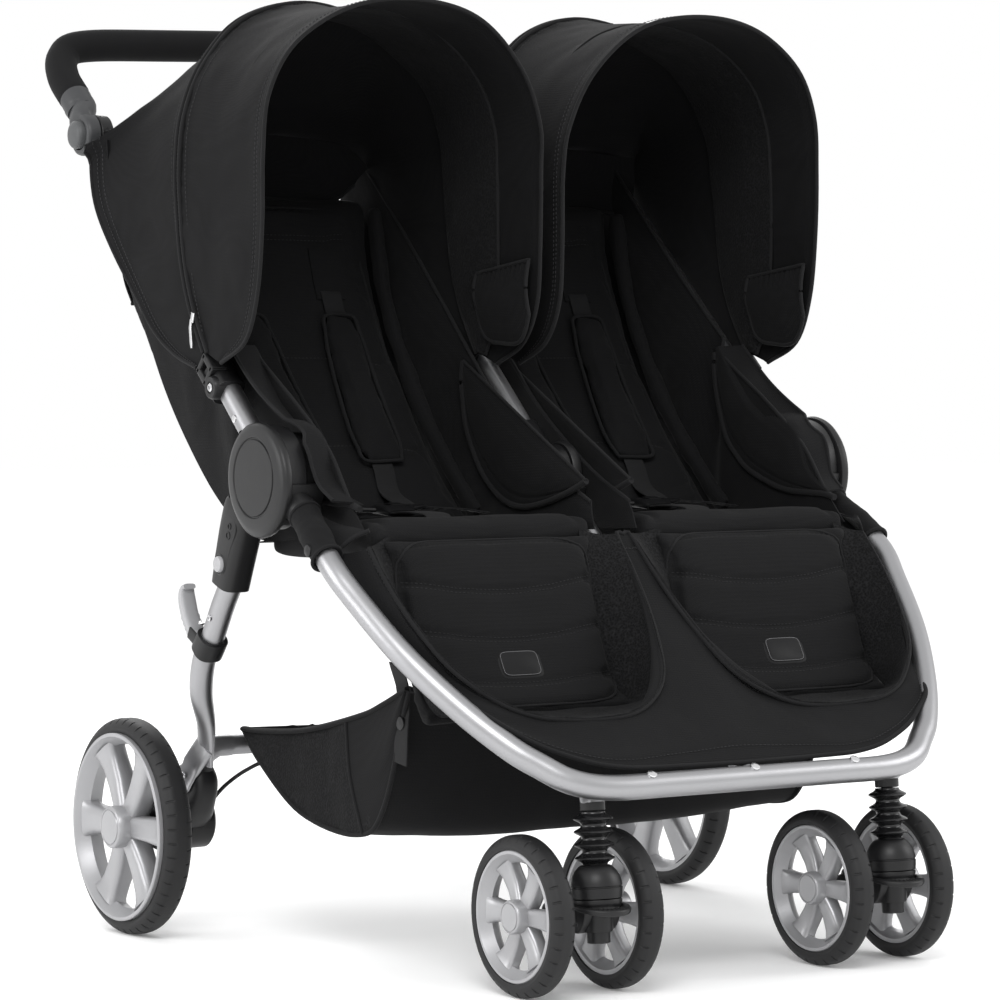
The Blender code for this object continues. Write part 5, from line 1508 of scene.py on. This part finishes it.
OUT, INN = 0.353, 0.0148
FRONT_EDGE = ((OUT, 0.01, 0.617), (OUT, -0.043, 0.64), (OUT, -0.068, 0.69), (OUT, -0.078, 0.76),
              (OUT, -0.08, 0.83), (0.347, -0.083, 0.89), (0.318, -0.089, 0.942), (0.256, -0.096, 0.98),
              (0.18, -0.099, 0.9905), (0.104, -0.0965, 0.975), (0.048, -0.09, 0.927),
              (0.02, -0.084, 0.87), (INN, -0.078, 0.82), (INN, -0.076, 0.74),
              (INN, -0.07, 0.68), (INN, -0.043, 0.638), (INN, 0.008, 0.616))
RIB_EDGE = ((OUT, 0.042, 0.628), (OUT, 0.072, 0.676), (OUT, 0.09, 0.724), (OUT, 0.0985, 0.775),
            (0.352, 0.1035, 0.825), (0.344, 0.1055, 0.88), (0.318, 0.109, 0.934), (0.262, 0.124, 0.984),
            (0.18, 0.1335, 1.005), (0.104, 0.126, 0.985), (0.047, 0.111, 0.935),
            (0.021, 0.1055, 0.88), (INN, 0.1035, 0.825), (INN, 0.0985, 0.775), (INN, 0.09, 0.724),
            (INN, 0.072, 0.676), (INN, 0.042, 0.628))
REAR_EDGE = ((OUT, 0.0625, 0.612), (OUT, 0.11, 0.626), (OUT, 0.155, 0.65), (OUT, 0.1945, 0.686),
             (OUT, 0.2525, 0.741), (0.355, 0.288, 0.79), (0.3575, 0.294, 0.836), (0.355, 0.29, 0.858),
             (0.18, 0.305, 0.868), (0.045, 0.285, 0.858), (0.019, 0.28, 0.828),
             (INN, 0.274, 0.786), (INN, 0.2525, 0.741), (INN, 0.1945, 0.686), (INN, 0.155, 0.65),
             (INN, 0.11, 0.626), (INN, 0.0625, 0.612))
CANOPY_MIDDLE = Vector((0.184, 0.06, 0.78))
CANOPY_STEPS = (128, 40)               # of a panel's grid, across the stroller and from edge to edge
CANOPY_DEPTH = 0.2                    # of the front panel, for its seams
FRONT_BLEND = ("canopy_{}_bow", "canopy_{}_front", (0, 0.1, 0.8), (0, 0.005, 0.83))
REAR_BLEND = ("handle_frame", "canopy_{}_bow", (0, 0.2, 0.75), (0, 0.144, 0.792))


def build_canopies():
    front, rib, rear = mirrored(FRONT_EDGE, RIGHT), mirrored(RIB_EDGE, RIGHT), mirrored(REAR_EDGE, RIGHT)
    panel = surface([front, halfway(front, rib), rib], *CANOPY_STEPS)

    def front_relief(u, v, point):
        top = math.sin(math.pi * min(1.0, max(0.0, (u - 0.12) / 0.76)))
        dip = -0.0065 * math.sin(math.pi * v) * top
        band = 0.0012 * (1 - smooth((v * CANOPY_DEPTH - 0.0135) / 0.003))
        seam = -0.0014 * math.exp(-((v * CANOPY_DEPTH - 0.0165) / 0.0022) ** 2)
        pull = 0.0022 * wrinkle((point.x * 0.8, point.y * 1.2, point.z), 13, 1.0) * smooth(v / 0.25)
        puckers = 0.0008 * math.sin(u * TAU * 40 + 3 * math.sin(u * 31)) * math.exp(-((v - 1.0) / 0.1) ** 2)
        return dip + band + seam + pull + puckers
    hood = cloth_grid(panel, CANOPY_MIDDLE, CLOTH, front_relief)
    pair("canopy_hood", hood, CANOPY_FABRIC, FRONT_BLEND, "canopy_front_{}", angle=70)
    normals = grid_normals(panel, CANOPY_MIDDLE)

    def lifted(row, lift):
        i = row if row >= 0 else len(panel) + row
        return [p + n * lift for p, n in zip(panel[i], normals[i])]
    rows = []
    for index, shift, lift in ((2, 0.4, 0.0016), (3, 0.9, 0.0006), (36, 0.4, 0.0008)):
        rows.append([(p + n * lift, n) for p, n in row_with_normals(panel, normals, index, shift)])
    pair("canopy_stitching", stitches(rows, 0.0002), THREAD, FRONT_BLEND)
    pair_piping("canopy_lip", lifted(0, 0.0006), 0.0022, FRONT_BLEND)

    back = surface([rib, halfway(rib, rear), rear], *CANOPY_STEPS)
    back_normals = grid_normals(back, CANOPY_MIDDLE)

    def rear_relief(u, v, point):
        top = math.sin(math.pi * min(1.0, max(0.0, (u - 0.1) / 0.8)))
        dip = -0.006 * math.sin(math.pi * v) * top
        folds = 0.003 * wrinkle((point.x * 0.7, point.y * 0.8, point.z * 1.6), 11,
                                 6.0) * math.sin(math.pi * v) ** 0.5
        hem = 0.001 * smooth((v - 0.92) / 0.03) - 0.0013 * math.exp(-((v - 0.915) / 0.01) ** 2)
        return dip + folds + hem
    pair("canopy_back", cloth_grid(back, CANOPY_MIDDLE, CLOTH, rear_relief), CANOPY_FABRIC, REAR_BLEND,
         "canopy_rear_{}", angle=70)
    rows = [[(p + n * 0.001, n) for p, n in row_with_normals(back, back_normals, index, 0.4)]
            for index in (3, 35, 37)]
    pair("canopy_back_stitching", stitches(rows, 0.0002), THREAD, REAR_BLEND)
    hem = [p + n * 0.0006 for p, n in zip(back[-1], back_normals[-1])]
    pair_piping("canopy_hem", hem, 0.0021, REAR_BLEND)

    dense = resampled(curve_through(rib, 8), 160)
    rib_normals = [(p - Vector((CANOPY_MIDDLE.x, p.y, CANOPY_MIDDLE.z - 0.06))).normalized() for p in dense]
    bows = []
    for shift, lift, radius in ((-0.0042, 0.0014, 0.0026), (0.0042, 0.0014, 0.0026)):
        bows.append(sweep([p + Vector((0, shift, 0)) + n * lift for p, n in zip(dense, rib_normals)],
                          (radius, radius), BEHIND, 14))
    inner = sweep([p - n * 0.003 for p, n in zip(dense, rib_normals)], (0.0055, 0.0028), BEHIND, 14, 3)
    pair("canopy_rib", merged(inner, *bows), BINDING, "canopy_{}_bow", "canopy_bow_{}")
    teeth = []
    for k in range(int(len(dense) * 0.02), len(dense) - 3):
        way = (dense[k + 1] - dense[k]).normalized()
        for step in range(3):
            side = 0.0009 if (3 * k + step) % 2 else -0.0009
            place = dense[k].lerp(dense[k + 1], step / 3) + rib_normals[k] * 0.0006 + BEHIND * side
            teeth.append((place, way, rib_normals[k]))
    pair("canopy_zip", zip_teeth(teeth, 0.00035, 0.001, -0.0004, 0.0012), BLACK_PLASTIC, "canopy_{}_bow")
    start = dense[7]
    slider = merged(sweep((start + Vector((0.0036, -0.002, 0.006)), start + Vector((0.0036, 0.001, -0.004))),
                          (0.003, 0.002), BEHIND, 16, 3), sweep((start + Vector((0.0056, 0.0, -0.001)),
                                                                   start + Vector((0.006, 0.001, -0.01)),
                                                                   start + Vector((0.005, 0.001, -0.026)),
                                                                   start + Vector((0.0046, 0.001, -0.031))),
                                                                  [(0.002, 0.0008), (0.0026, 0.0009),
                                                                   (0.0024, 0.0009), (0.0014, 0.0008)],
                                                                  BEHIND, 16, 3))
    pair("canopy_zip_pull", slider, STEEL, "canopy_{}_bow")

    def tuck(u, v, point):
        return 0.002 * wrinkle((point.x * 1.2, point.y, point.z * 0.8), 24,
                                8.0) - 0.004 * math.sin(math.pi * v)
    lining = surface([[p.lerp(Vector((CANOPY_MIDDLE.x, p.y, CANOPY_MIDDLE.z)), 0.03) for p in line]
                      for line in ([f.lerp(r, 0.42) for f, r in zip(front, rib)],
                                   [f.lerp(r, 0.75) for f, r in zip(front, rib)],
                                   [r.lerp(b, 0.03) for r, b in zip(rib, rear)])], 120, 22)
    pair("canopy_lining", cloth_grid(lining, CANOPY_MIDDLE, 0.0008, tuck), NET, FRONT_BLEND, angle=70)
    pair_piping("canopy_lining_edge", lining[0], 0.0018, FRONT_BLEND)
    build_rear_curtain()
    build_side_flaps()


def build_rear_curtain():
    """Fabric from each canopy's rear hem to the backrest's top, cut away towards the middle tube."""
    top = [Vector((x, y, z)) for x, y, z in ((0.354, 0.264, 0.86), (0.27, 0.286, 0.87),
                                             (0.18, 0.29, 0.875), (0.11, 0.28, 0.872),
                                             (0.055, 0.268, 0.864), (0.022, 0.262, 0.84))]
    low = [Vector((x, y, z)) for x, y, z in ((0.346, 0.264, 0.792), (0.27, 0.264, 0.798),
                                             (0.18, 0.264, 0.802), (0.11, 0.266, 0.8),
                                             (0.068, 0.266, 0.801), (0.04, 0.266, 0.819))]
    middle = [a.lerp(b, 0.5) + BEHIND * 0.004 for a, b in zip(top, low)]
    grid = surface([top, middle, low], 60, 20)

    def folds(u, v, point):
        return 0.003 * wrinkle((point.x * 1.4, point.y, point.z * 0.6), 20, 5.0) * math.sin(math.pi * v)
    pair("rear_curtain", cloth_grid(grid, (0.18, 0.6, 0.83), CLOTH, folds), CANOPY_FABRIC, "handle_frame",
         angle=70)
    pair_piping("rear_curtain_binding", grid[-1], 0.0019, "handle_frame")


def build_side_flaps():
    """A bound flap with a gathered top inside the right-hand wall of each canopy."""
    for name, x, lean in (("left", -(INN + 0.004), -1), ("right", OUT - 0.004, -1)):
        lines = []
        for t in (0.0, 0.06, 0.16, 0.32, 0.52, 0.72, 0.88, 1.0):
            y = lerp(-0.069, 0.033, t)
            corner = abs(2 * t - 1) ** 5
            top, low = Vector((x, y, lerp(0.726, 0.714, t))), Vector((x, y,
                                                                        0.634 + 0.034 * corner + 0.008 * t))
            line = [top.lerp(low, k / 5) for k in range(6)]
            for k, p in enumerate(line):
                p.x += lean * (0.0055 + 0.007 * math.sin(math.pi * k / 5) * (0.6
                                                                              + 0.4 * math.sin(math.pi * t)))
            lines.append(line)
        grid = surface(lines, 26, 36)

        def gather(u, v, point):
            return 0.0013 * math.sin(TAU * 11 * v) * (1 - smooth(u / 0.35)) + 0.001 * wrinkle(point, 40,
                                                                                               2.0)
        body = f"canopy_{name}_front"
        piece(f"side_flap_{name}", cloth_grid(grid, (x + 0.1, 0, 0.67), CLOTH, gather), FABRIC, body,
              angle=70)
        outline = ([row[0] for row in grid] + grid[-1][1:] + [row[-1] for row in reversed(grid[:-1])]
                   + grid[0][-2:0:-1])
        loop = resampled(outline + outline[:1], 130)[:-1]
        piping(f"side_flap_binding_{name}", loop, 0.0022, body, closed=True)


# --- side panels ----------------------------------------------------------------------------------------


SEAT_EDGE = ((-0.195, 0.444), (-0.1, 0.44), (0.02, 0.433), (0.1, 0.47), (0.175, 0.535),
             (0.235, 0.605), (0.285, 0.69), (0.312, 0.77), (0.32, 0.83))
# (x, y, z) of each wall's upper edge: beside and above the handle tube.
INNER_TOP = ((0.0245, -0.185, 0.472), (0.0245, -0.11, 0.506), (0.0245, -0.02, 0.565),
             (0.024, 0.044, 0.624), (0.02, 0.105, 0.679), (0.018, 0.173, 0.743),
             (0.018, 0.228, 0.796), (0.02, 0.27, 0.836), (0.022, 0.308, 0.872))
OUTER_TOP = ((0.32, -0.16, 0.48), (0.327, -0.1195, 0.529), (0.327, -0.056, 0.574),
             (0.323, 0.03, 0.628), (0.32, 0.1, 0.688), (0.32, 0.168, 0.75),
             (0.322, 0.224, 0.802), (0.325, 0.268, 0.842), (0.33, 0.308, 0.876))
# Outline of the bolster panel in front of each wall, from its top at the canopy round to its front corner.
INNER_LOBE = ((0.054, 0.619), (0.057, 0.598), (0.0542, 0.578), (0.0463, 0.5439), (0.0184, 0.5008),
              (-0.0152, 0.475), (-0.0504, 0.464), (-0.09, 0.466), (-0.14, 0.478), (-0.1826, 0.4935))
OUTER_LOBE = ((0.039, 0.632), (0.0385, 0.606), (0.033, 0.576), (0.0175, 0.535), (-0.004, 0.512),
              (-0.0303, 0.495), (-0.0855, 0.4776), (-0.1305, 0.4743), (-0.16, 0.474), (-0.18, 0.47))
OUTER_BROW = ((0.031, 0.637), (-0.006, 0.606), (-0.03, 0.589), (-0.056, 0.574), (-0.08, 0.562),
              (-0.1045, 0.549), (-0.126, 0.5295), (-0.1345, 0.5085), (-0.143, 0.493), (-0.164, 0.479))
HUB_INSIDE = 0.3015                    # the outer wall stays inside the leg casting, up to this x
HUB_REACH = 0.055                     # the bolster stays inside the hub up to this far from its axis


def build_side_panels():
    """The walls beside each seat, from its edge up to the handle tube and the canopy's foot."""
    bodies = ("front_frame", "handle_frame", (0, -0.06, 0.47), (0, 0.02, 0.545))
    for stem, seat_x, edge, lobe_x, lobe in (("inner_wall", 0.0275, INNER_TOP, 0.0285, INNER_LOBE),
                                             ("outer_wall", 0.3045, OUTER_TOP, 0.3005, OUTER_LOBE)):
        low = upright(SEAT_EDGE, seat_x)
        top = mirrored(edge, RIGHT)
        grid = surface([low, halfway(low, top), top], 90, 26)
        if stem == "outer_wall":
            for p in (p for row in grid for p in row):
                p.x = lerp(p.x, min(p.x, HUB_INSIDE), smooth((0.055 - p.y) / 0.03))
        inside = (0.0 if seat_x < SEAT_MIDDLE_X else 0.4, -0.05, 0.55)

        def folds(u, v, point):
            lines = wrinkle((point.x, point.y * 1.3, point.z * 0.5), 14, 5.0)
            deep = 0.0006 + 0.003 * smooth((point.y - 0.05) / 0.05)
            return (deep * (1 + lines) + 0.0008 * wrinkle(point, 44, 2.0)) * math.sin(math.pi * v)
        pair(stem, cloth_grid(grid, inside, CLOTH, folds), FABRIC, bodies, angle=70)
        pair_piping(f"{stem}_binding", grid[-1], 0.002, bodies)
        curve = upright(lobe, lobe_x)
        if lobe is OUTER_LOBE:
            straight = [Vector((0.333 - 0.01 * (k / 9) ** 3, y, z)) for k, (y, z) in enumerate(OUTER_BROW)]
        else:
            straight = [curve[0].lerp(curve[-1], k / (len(curve) - 1)) for k in range(len(curve))]
        grid = surface([straight, halfway(curve, straight), curve], 80, 44)
        if lobe is OUTER_LOBE:
            for k, row in enumerate(grid):
                for p in row:
                    away = math.hypot(p.y - HUB_Y, p.z - HUB_Z) - HUB_REACH
                    lean = min(smooth(away / 0.006), 1 - smooth(k / (len(grid) - 1) / 0.3))
                    p.x = lerp(lobe_x, p.x, lean)

        def swell(u, v, point):
            bulge = 0.0055 * math.sin(math.pi * v) * math.sin(math.pi * u) ** 0.5
            hem = -0.0012 * math.exp(-((v - 0.86) / 0.02) ** 2)
            return bulge + hem + 0.0012 * wrinkle(point, 22, 9.0) * math.sin(math.pi * v)
        pair(f"{stem}_bolster", cloth_grid(grid, inside, DOUBLED_CLOTH, swell), FABRIC, bodies, angle=70)
        pair_piping(f"{stem}_bolster_binding", grid[-1], 0.0034, bodies)
        pair_piping(f"{stem}_bolster_edge", grid[0], 0.0018, bodies)


def tube_stretch(first, last, count):
    """Points on the right-hand side of the front tube, between two distances from its upper end."""
    upper = [p for p in front_route() if p.x > 0.2][::-1]
    fine = resampled(upper, 400)
    step = (fine[1] - fine[0]).length
    return resampled(fine[round(first / step):round(last / step) + 1], count - 1)


def build_corner_sleeves():
    """A bound sleeve with a snap round each side of the front tube, and the flap from it to the seat."""
    centre = tube_stretch(0.007, 0.08, 15)
    sleeve = piece("sleeve", sweep(curve_through(centre, 3), (0.0156, 0.016), ACROSS, 48), FABRIC, None,
                   angle=70)
    creased(sleeve, 0.0012, 42, 3.0)
    both_sides(sleeve, "corner_sleeve", "front_frame")
    for index, name in ((0, "upper"), (-1, "lower")):
        way = (centre[index] - centre[index - 1 if index else 1]).normalized()
        out = way.cross(ACROSS).normalized()
        ring = [centre[index] + (ACROSS * math.cos(TAU * k / 40) + out * math.sin(TAU * k / 40)) * 0.016
                for k in range(40)]
        pair_piping(f"sleeve_binding_{name}", ring, 0.0017, "front_frame", closed=True, side=way)
    lines = []
    for k, p in enumerate(tube_stretch(0.01, 0.078, 5)):
        seat = Vector((0.307, lerp(-0.105, -0.208, k / 4), lerp(0.457, 0.45, k / 4)))
        start = p + Vector((-0.0135, 0.001, 0.006))
        lines.append([start, start.lerp(seat, 0.5) + Vector((0, 0, 0.003)), seat])
    grid = surface(lines, 30, 40)
    pair("corner_panel", cloth_grid(grid, (0.3, -0.1, 0.2), 0.002, lambda u, v,
                                    point: 0.0012 * wrinkle(point, 30, 6.0)), FABRIC, "front_frame",
         angle=70)
    pair_piping("corner_panel_edge", grid[-1], 0.0023, "front_frame")
    p = centre[11]
    snap = dome((p.x + 0.0155, p.y, p.z - 0.002), (1, 0, 0), 0.0062, 0.0024)
    pair("corner_snap", snap, BLACK_PLASTIC, "front_frame")


# --- front apron ----------------------------------------------------------------------------------------

APRON_TOP = Vector((0, -0.212, 0.442))
APRON_FOOT = Vector((0, -0.426, 0.2225))
APRON_WAY = (APRON_FOOT - APRON_TOP).normalized()
APRON_NORMAL = APRON_WAY.cross(ACROSS).normalized() * -1


def apron_point(x, s, proud=0.0):
    return APRON_TOP + ACROSS * x + APRON_WAY * s + APRON_NORMAL * proud


def beside_tube(s):
    """Where the apron meets the inner side of the front tube, this far down the apron."""
    p = min(tube_stretch(0.0, 0.4, 300), key=lambda q: abs((q - APRON_TOP).dot(APRON_WAY) - s))
    return p - ACROSS * (TUBE_RADIUS - 0.001) + APRON_NORMAL * 0.004


def build_apron():
    """The apron runs between its opening and its outer edge, two lines of equally many points."""
    opening = ((0.0, 0.0), (0.008, 0.0), (0.012, 0.05), (0.018, 0.1), (0.029, 0.15), (0.042, 0.186),
               (0.062, 0.212), (0.095, 0.233), (0.136, 0.24), (0.2, 0.236), (0.235, 0.224),
               (0.26, 0.203), (0.287, 0.165), (0.304, 0.106), (0.3105, 0.05), (0.311, 0.008))
    edge = ((0.0, 0.3065), (0.03, 0.3062), (0.06, 0.3058), (0.09, 0.305), (0.115, 0.3045),
            (0.135, 0.3035), (0.158, 0.3), (0.18, 0.294), (0.205, 0.283), (0.228, 0.27),
            (0.25, 0.252), (0.272, 0.229))

    def whole(right):
        return mirrored(right[:0:-1], LEFT) + right
    first = whole([apron_point(x, s, 0.0048) for x, s in opening])
    last = whole([apron_point(x, s, 0.0036) for x, s in edge]
                 + [beside_tube(s) for s in (0.175, 0.106, 0.04, -0.012)])
    middle = [a.lerp(b, 0.5) + APRON_NORMAL * 0.0035 for a, b in zip(first, last)]
    grid = surface([first, middle, last], 280, 36)
    inside = Vector((0, 0.0, 0.1))

    def folds(u, v, point):
        soft = 0.002 * wrinkle((abs(point.x), point.y, point.z), 10, 7.0) + 0.0007 * wrinkle(point, 34, 1.0)
        hem = -0.0012 * math.exp(-((v - 0.05) / 0.014) ** 2) - 0.0012 * math.exp(-((v - 0.95) / 0.014) ** 2)
        return soft * math.sin(math.pi * v) ** 0.6 + hem
    piece("front_apron", cloth_grid(grid, inside, DOUBLED_CLOTH, folds), FABRIC, "front_frame", ["apron"],
          angle=70)
    normals = grid_normals(grid, inside)
    rows = [[(p + n * 0.0006, n) for p, n in row_with_normals(grid, normals, index, 0.5)]
            for index in (2, 33)]
    piece("apron_stitching", stitches(rows, 0.0003), THREAD, "front_frame")
    piping("apron_opening_binding", grid[0], 0.0023, "front_frame")
    piping("apron_edge_piping", grid[-1], 0.0023, "front_frame")
    gusset(opening)
    zips([apron_point(x, s, 0.0048) for x, s in opening])


def gusset(opening):
    """Mesh between the apron's opening and the calf rest, all round the opening."""
    first = [apron_point(x + (0.0015 if x < 0.166 else -0.0015), s, 0.002) for x, s in opening[1:]]
    depth, side = 0.0095, 0.026
    calf = [(SEAT_INNER_X + side, y + depth, z - 0.002) for y, z in CALF_LINE]
    calf += [(x, CALF_LINE[-1][0] + depth + 0.0125, CALF_LINE[-1][1] - 0.001)
             for x in (0.09, 0.14, 0.192, 0.242)]
    calf += [(SEAT_OUTER_X - side, y + depth, z - 0.002) for y, z in reversed(CALF_LINE)]

    def slack(u, v, point):
        return -0.004 * math.sin(math.pi * v) + 0.0012 * wrinkle(point, 32, 3.0)
    grid = surface([first, [Vector(p) for p in calf]], 150, 16)
    pair("apron_gusset", cloth_grid(grid, (0.16, 0.1, 0.2), 0.001, slack), NET, "front_frame", angle=70)


def zips(first):
    """Zip coils down both sides of each opening, with small metal pulls at the top."""
    dense = resampled(curve_through(first[1:], 8), 260)
    teeth = []
    for low, high in ((0, 92), (176, 252)):
        for k in range(low, high):
            teeth.append((dense[k] + APRON_NORMAL * 0.0036, (dense[k + 1] - dense[k]).normalized(),
                          APRON_NORMAL))
    pair("apron_zip", zip_teeth(teeth, 0.0009, 0.0022, -0.001, 0.0008), BLACK_PLASTIC, "front_frame")
    pulls = []
    for index in (3, 236):
        p = dense[index] + APRON_NORMAL * 0.0052
        way = (dense[index + 4] - dense[index]).normalized()
        pulls.append(sweep((p - way * 0.005, p + way * 0.005), (0.0032, 0.0016), ACROSS, 16, 3))
        pulls.append(sweep((p + way * 0.001 + APRON_NORMAL * 0.0026, p + way * 0.011 + APRON_NORMAL * 0.002,
                            p + way * 0.022 + APRON_NORMAL * 0.0006),
                           [(0.0016, 0.0007), (0.0022, 0.0008), (0.0014, 0.0007)], ACROSS, 14, 3))
    pair("apron_zip_pulls", merged(*pulls), STEEL, "front_frame")


# --- basket ---------------------------------------------------------------------------------------------


def build_basket():
    """A sagging fabric tray with mesh side walls, bound all round."""
    half = 0.268
    rear_top, front_top = (0.119, 0.2235), (-0.219, 0.29)
    floor = ((0.119, 0.2235), (0.083, 0.192), (-0.0035, 0.146), (-0.116, 0.1345), (-0.169, 0.166),
             (-0.219, 0.29))
    lines = []
    for x, sag in ((-half, 0.0), (-half * 0.6, 0.008), (0, 0.01), (half * 0.6, 0.008), (half, 0.0)):
        lines.append([Vector((x, y, z - sag * math.sin(math.pi * k / 5))) for k, (y, z) in enumerate(floor)])
    grid = surface(lines, 70, 90)

    def folds(u, v, point):
        gather = 0.0022 * math.sin(TAU * 26 * v + 2 * math.sin(TAU * 5 * v)) * math.exp(-(u / 0.1) ** 2)
        return 0.0034 * wrinkle(point, 9, 2.0) * math.sin(math.pi * u) + gather
    made = [piece("basket_tray", cloth_grid(grid, (0, -0.05, 0.3), 0.0018, folds), FABRIC, "front_frame",
                  ["basket"], angle=70)]
    for name, side in SIDES:
        low = [Vector((side * half, y, z)) for y, z in floor]
        upper = []
        for k, p in enumerate(low):
            t = (p.y - rear_top[0]) / (front_top[0] - rear_top[0])
            z = lerp(rear_top[1], front_top[1], t) - 0.016 * math.sin(math.pi * t)
            upper.append(Vector((side * (half - 0.008 * math.sin(math.pi * t)), p.y, max(z, p.z + 0.0015))))
        wall = surface([low, [a.lerp(b, 0.5) + ACROSS * side * 0.004 for a, b in zip(low, upper)], upper],
                       80, 26)

        def slack(u, v, point):
            return 0.002 * wrinkle((point.x, point.y * 1.4, point.z * 0.7), 20,
                                    side * 3.0) * math.sin(math.pi * u)
        made.append(piece(f"basket_net_{name}", cloth_grid(wall, (0, -0.05, 0.22), 0.0012, slack), NET,
                          "front_frame", angle=70))
        solid_corner = [[p + ACROSS * side * 0.0014 for p in row[48:]] for row in wall]
        made.append(piece(f"basket_corner_{name}", cloth_grid(solid_corner, (0, -0.05, 0.22), 0.0012),
                          FABRIC, "front_frame", angle=70))
        made.append(piping(f"basket_rim_{name}", wall[-1], 0.003, "front_frame", flat=1.7))
        made.append(piping(f"basket_seam_{name}", wall[0], 0.0026, "front_frame"))
        made.append(piping(f"basket_divide_{name}", [row[48] + ACROSS * side * 0.0016 for row in wall],
                           0.0022, "front_frame", side=BEHIND))
        strap_top = Vector((side * (half - 0.004), -0.202, 0.285))
        strap = sweep(curve_through((Vector((side * (half + 0.001), -0.204, 0.215)),
                                     Vector((side * (half + 0.002), -0.208, 0.248)), strap_top,
                                     strap_top + Vector((side * 0.012, -0.006, 0.03))), 5),
                      (0.012, 0.001), BEHIND, 14, 6)
        made.append(piece(f"basket_strap_{name}", strap, WEBBING, "front_frame"))
        made.append(piece(f"basket_snap_{name}", dome((side * (half + 0.0026), -0.207, 0.256),
                                                      (side, 0, 0), 0.007, 0.0022), BLACK_PLASTIC,
                          "front_frame"))
    for y, z, name in ((*rear_top, "rear"), (*front_top, "front")):
        edge = [Vector((lerp(-half, half, k / 60), y, z - 0.004 * math.sin(math.pi * k / 60)))
                for k in range(61)]
        made.append(piping(f"basket_edge_{name}", edge, 0.0032, "front_frame"))
    for obj in made:
        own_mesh(obj)


build_seats()
build_canopies()
build_side_panels()
build_corner_sleeves()
build_apron()
build_basket()

# --- camera, floor and light ----------------------------------------------------------------------------


# Each light: name, place, what it points at, size and watts.
LIGHTS = (("key", (-1.9, -2.6, 3.0), (0, 0, 0.5), (1.8, 1.4), 75),
          ("fill", (2.8, -1.8, 1.9), (0, 0, 0.5), (1.6, 1.6), 34),
          ("back", (0.6, 2.8, 2.4), (0, 0, 0.6), (2.2, 1.2), 40),
          ("left", (-3.0, 0.6, 1.4), (0, 0, 0.5), (1.4, 1.6), 34))
FLOOR_GLOW = 0.1                      # keeps the floor as white as the backdrop


def area_light(name, place, towards, size, power):
    data = bpy.data.lights.new(name, "AREA")
    data.shape = "RECTANGLE"
    data.size, data.size_y = size
    data.energy = power
    obj = bpy.data.objects.new(name, data)
    obj.location = place
    obj.rotation_euler = (Vector(towards) - Vector(place)).to_track_quat("-Z", "Y").to_euler()
    bpy.context.collection.objects.link(obj)


def build_studio():
    bm = bmesh.new()
    bmesh.ops.create_grid(bm, x_segments=8, y_segments=8, size=14)
    bmesh.ops.translate(bm, verts=bm.verts, vec=(0, 4.0, -0.0002))
    mesh = bpy.data.meshes.new("floor")
    bm.to_mesh(mesh)
    bm.free()
    floor = bpy.data.objects.new("floor", mesh)
    paint = Look("pale_floor", (0.93, 0.93, 0.93), 0.9, Specular_IOR_Level=0.0)
    paint.tint(paint.noise(0.8), 0.99, 1.01)
    paint.shader.inputs["Emission Color"].default_value = (1, 1, 1, 1)
    paint.shader.inputs["Emission Strength"].default_value = FLOOR_GLOW
    mesh.materials.append(paint.material)
    bpy.context.collection.objects.link(floor)
    scene = bpy.context.scene
    world = bpy.data.worlds.new("studio")
    world.use_nodes = True
    world.node_tree.nodes["Background"].inputs["Color"].default_value = (1, 1, 1, 1)
    world.node_tree.nodes["Background"].inputs["Strength"].default_value = 1.0
    scene.world = world
    scene.view_settings.view_transform = "Standard"
    for light in LIGHTS:
        area_light(*light)


CAMERA_PLACE = (-2.22, -3.3835, 0.606)
CAMERA_AIM = (-0.076, -0.0865, 0.471)
CAMERA_ROLL = -0.0024
LENS, SENSOR = 134.5, 36
SHIFT = (0.0025, 0.0012)


def build_camera():
    data = bpy.data.cameras.new("camera")
    data.lens, data.sensor_width = LENS, SENSOR
    data.shift_x, data.shift_y = SHIFT
    obj = bpy.data.objects.new("camera", data)
    obj.location = CAMERA_PLACE
    turn = (Vector(CAMERA_AIM) - Vector(CAMERA_PLACE)).to_track_quat("-Z", "Y")
    obj.rotation_euler = (turn @ Quaternion((0, 0, 1), CAMERA_ROLL)).to_euler()
    bpy.context.collection.objects.link(obj)
    bpy.context.scene.camera = obj


build_studio()
build_camera()
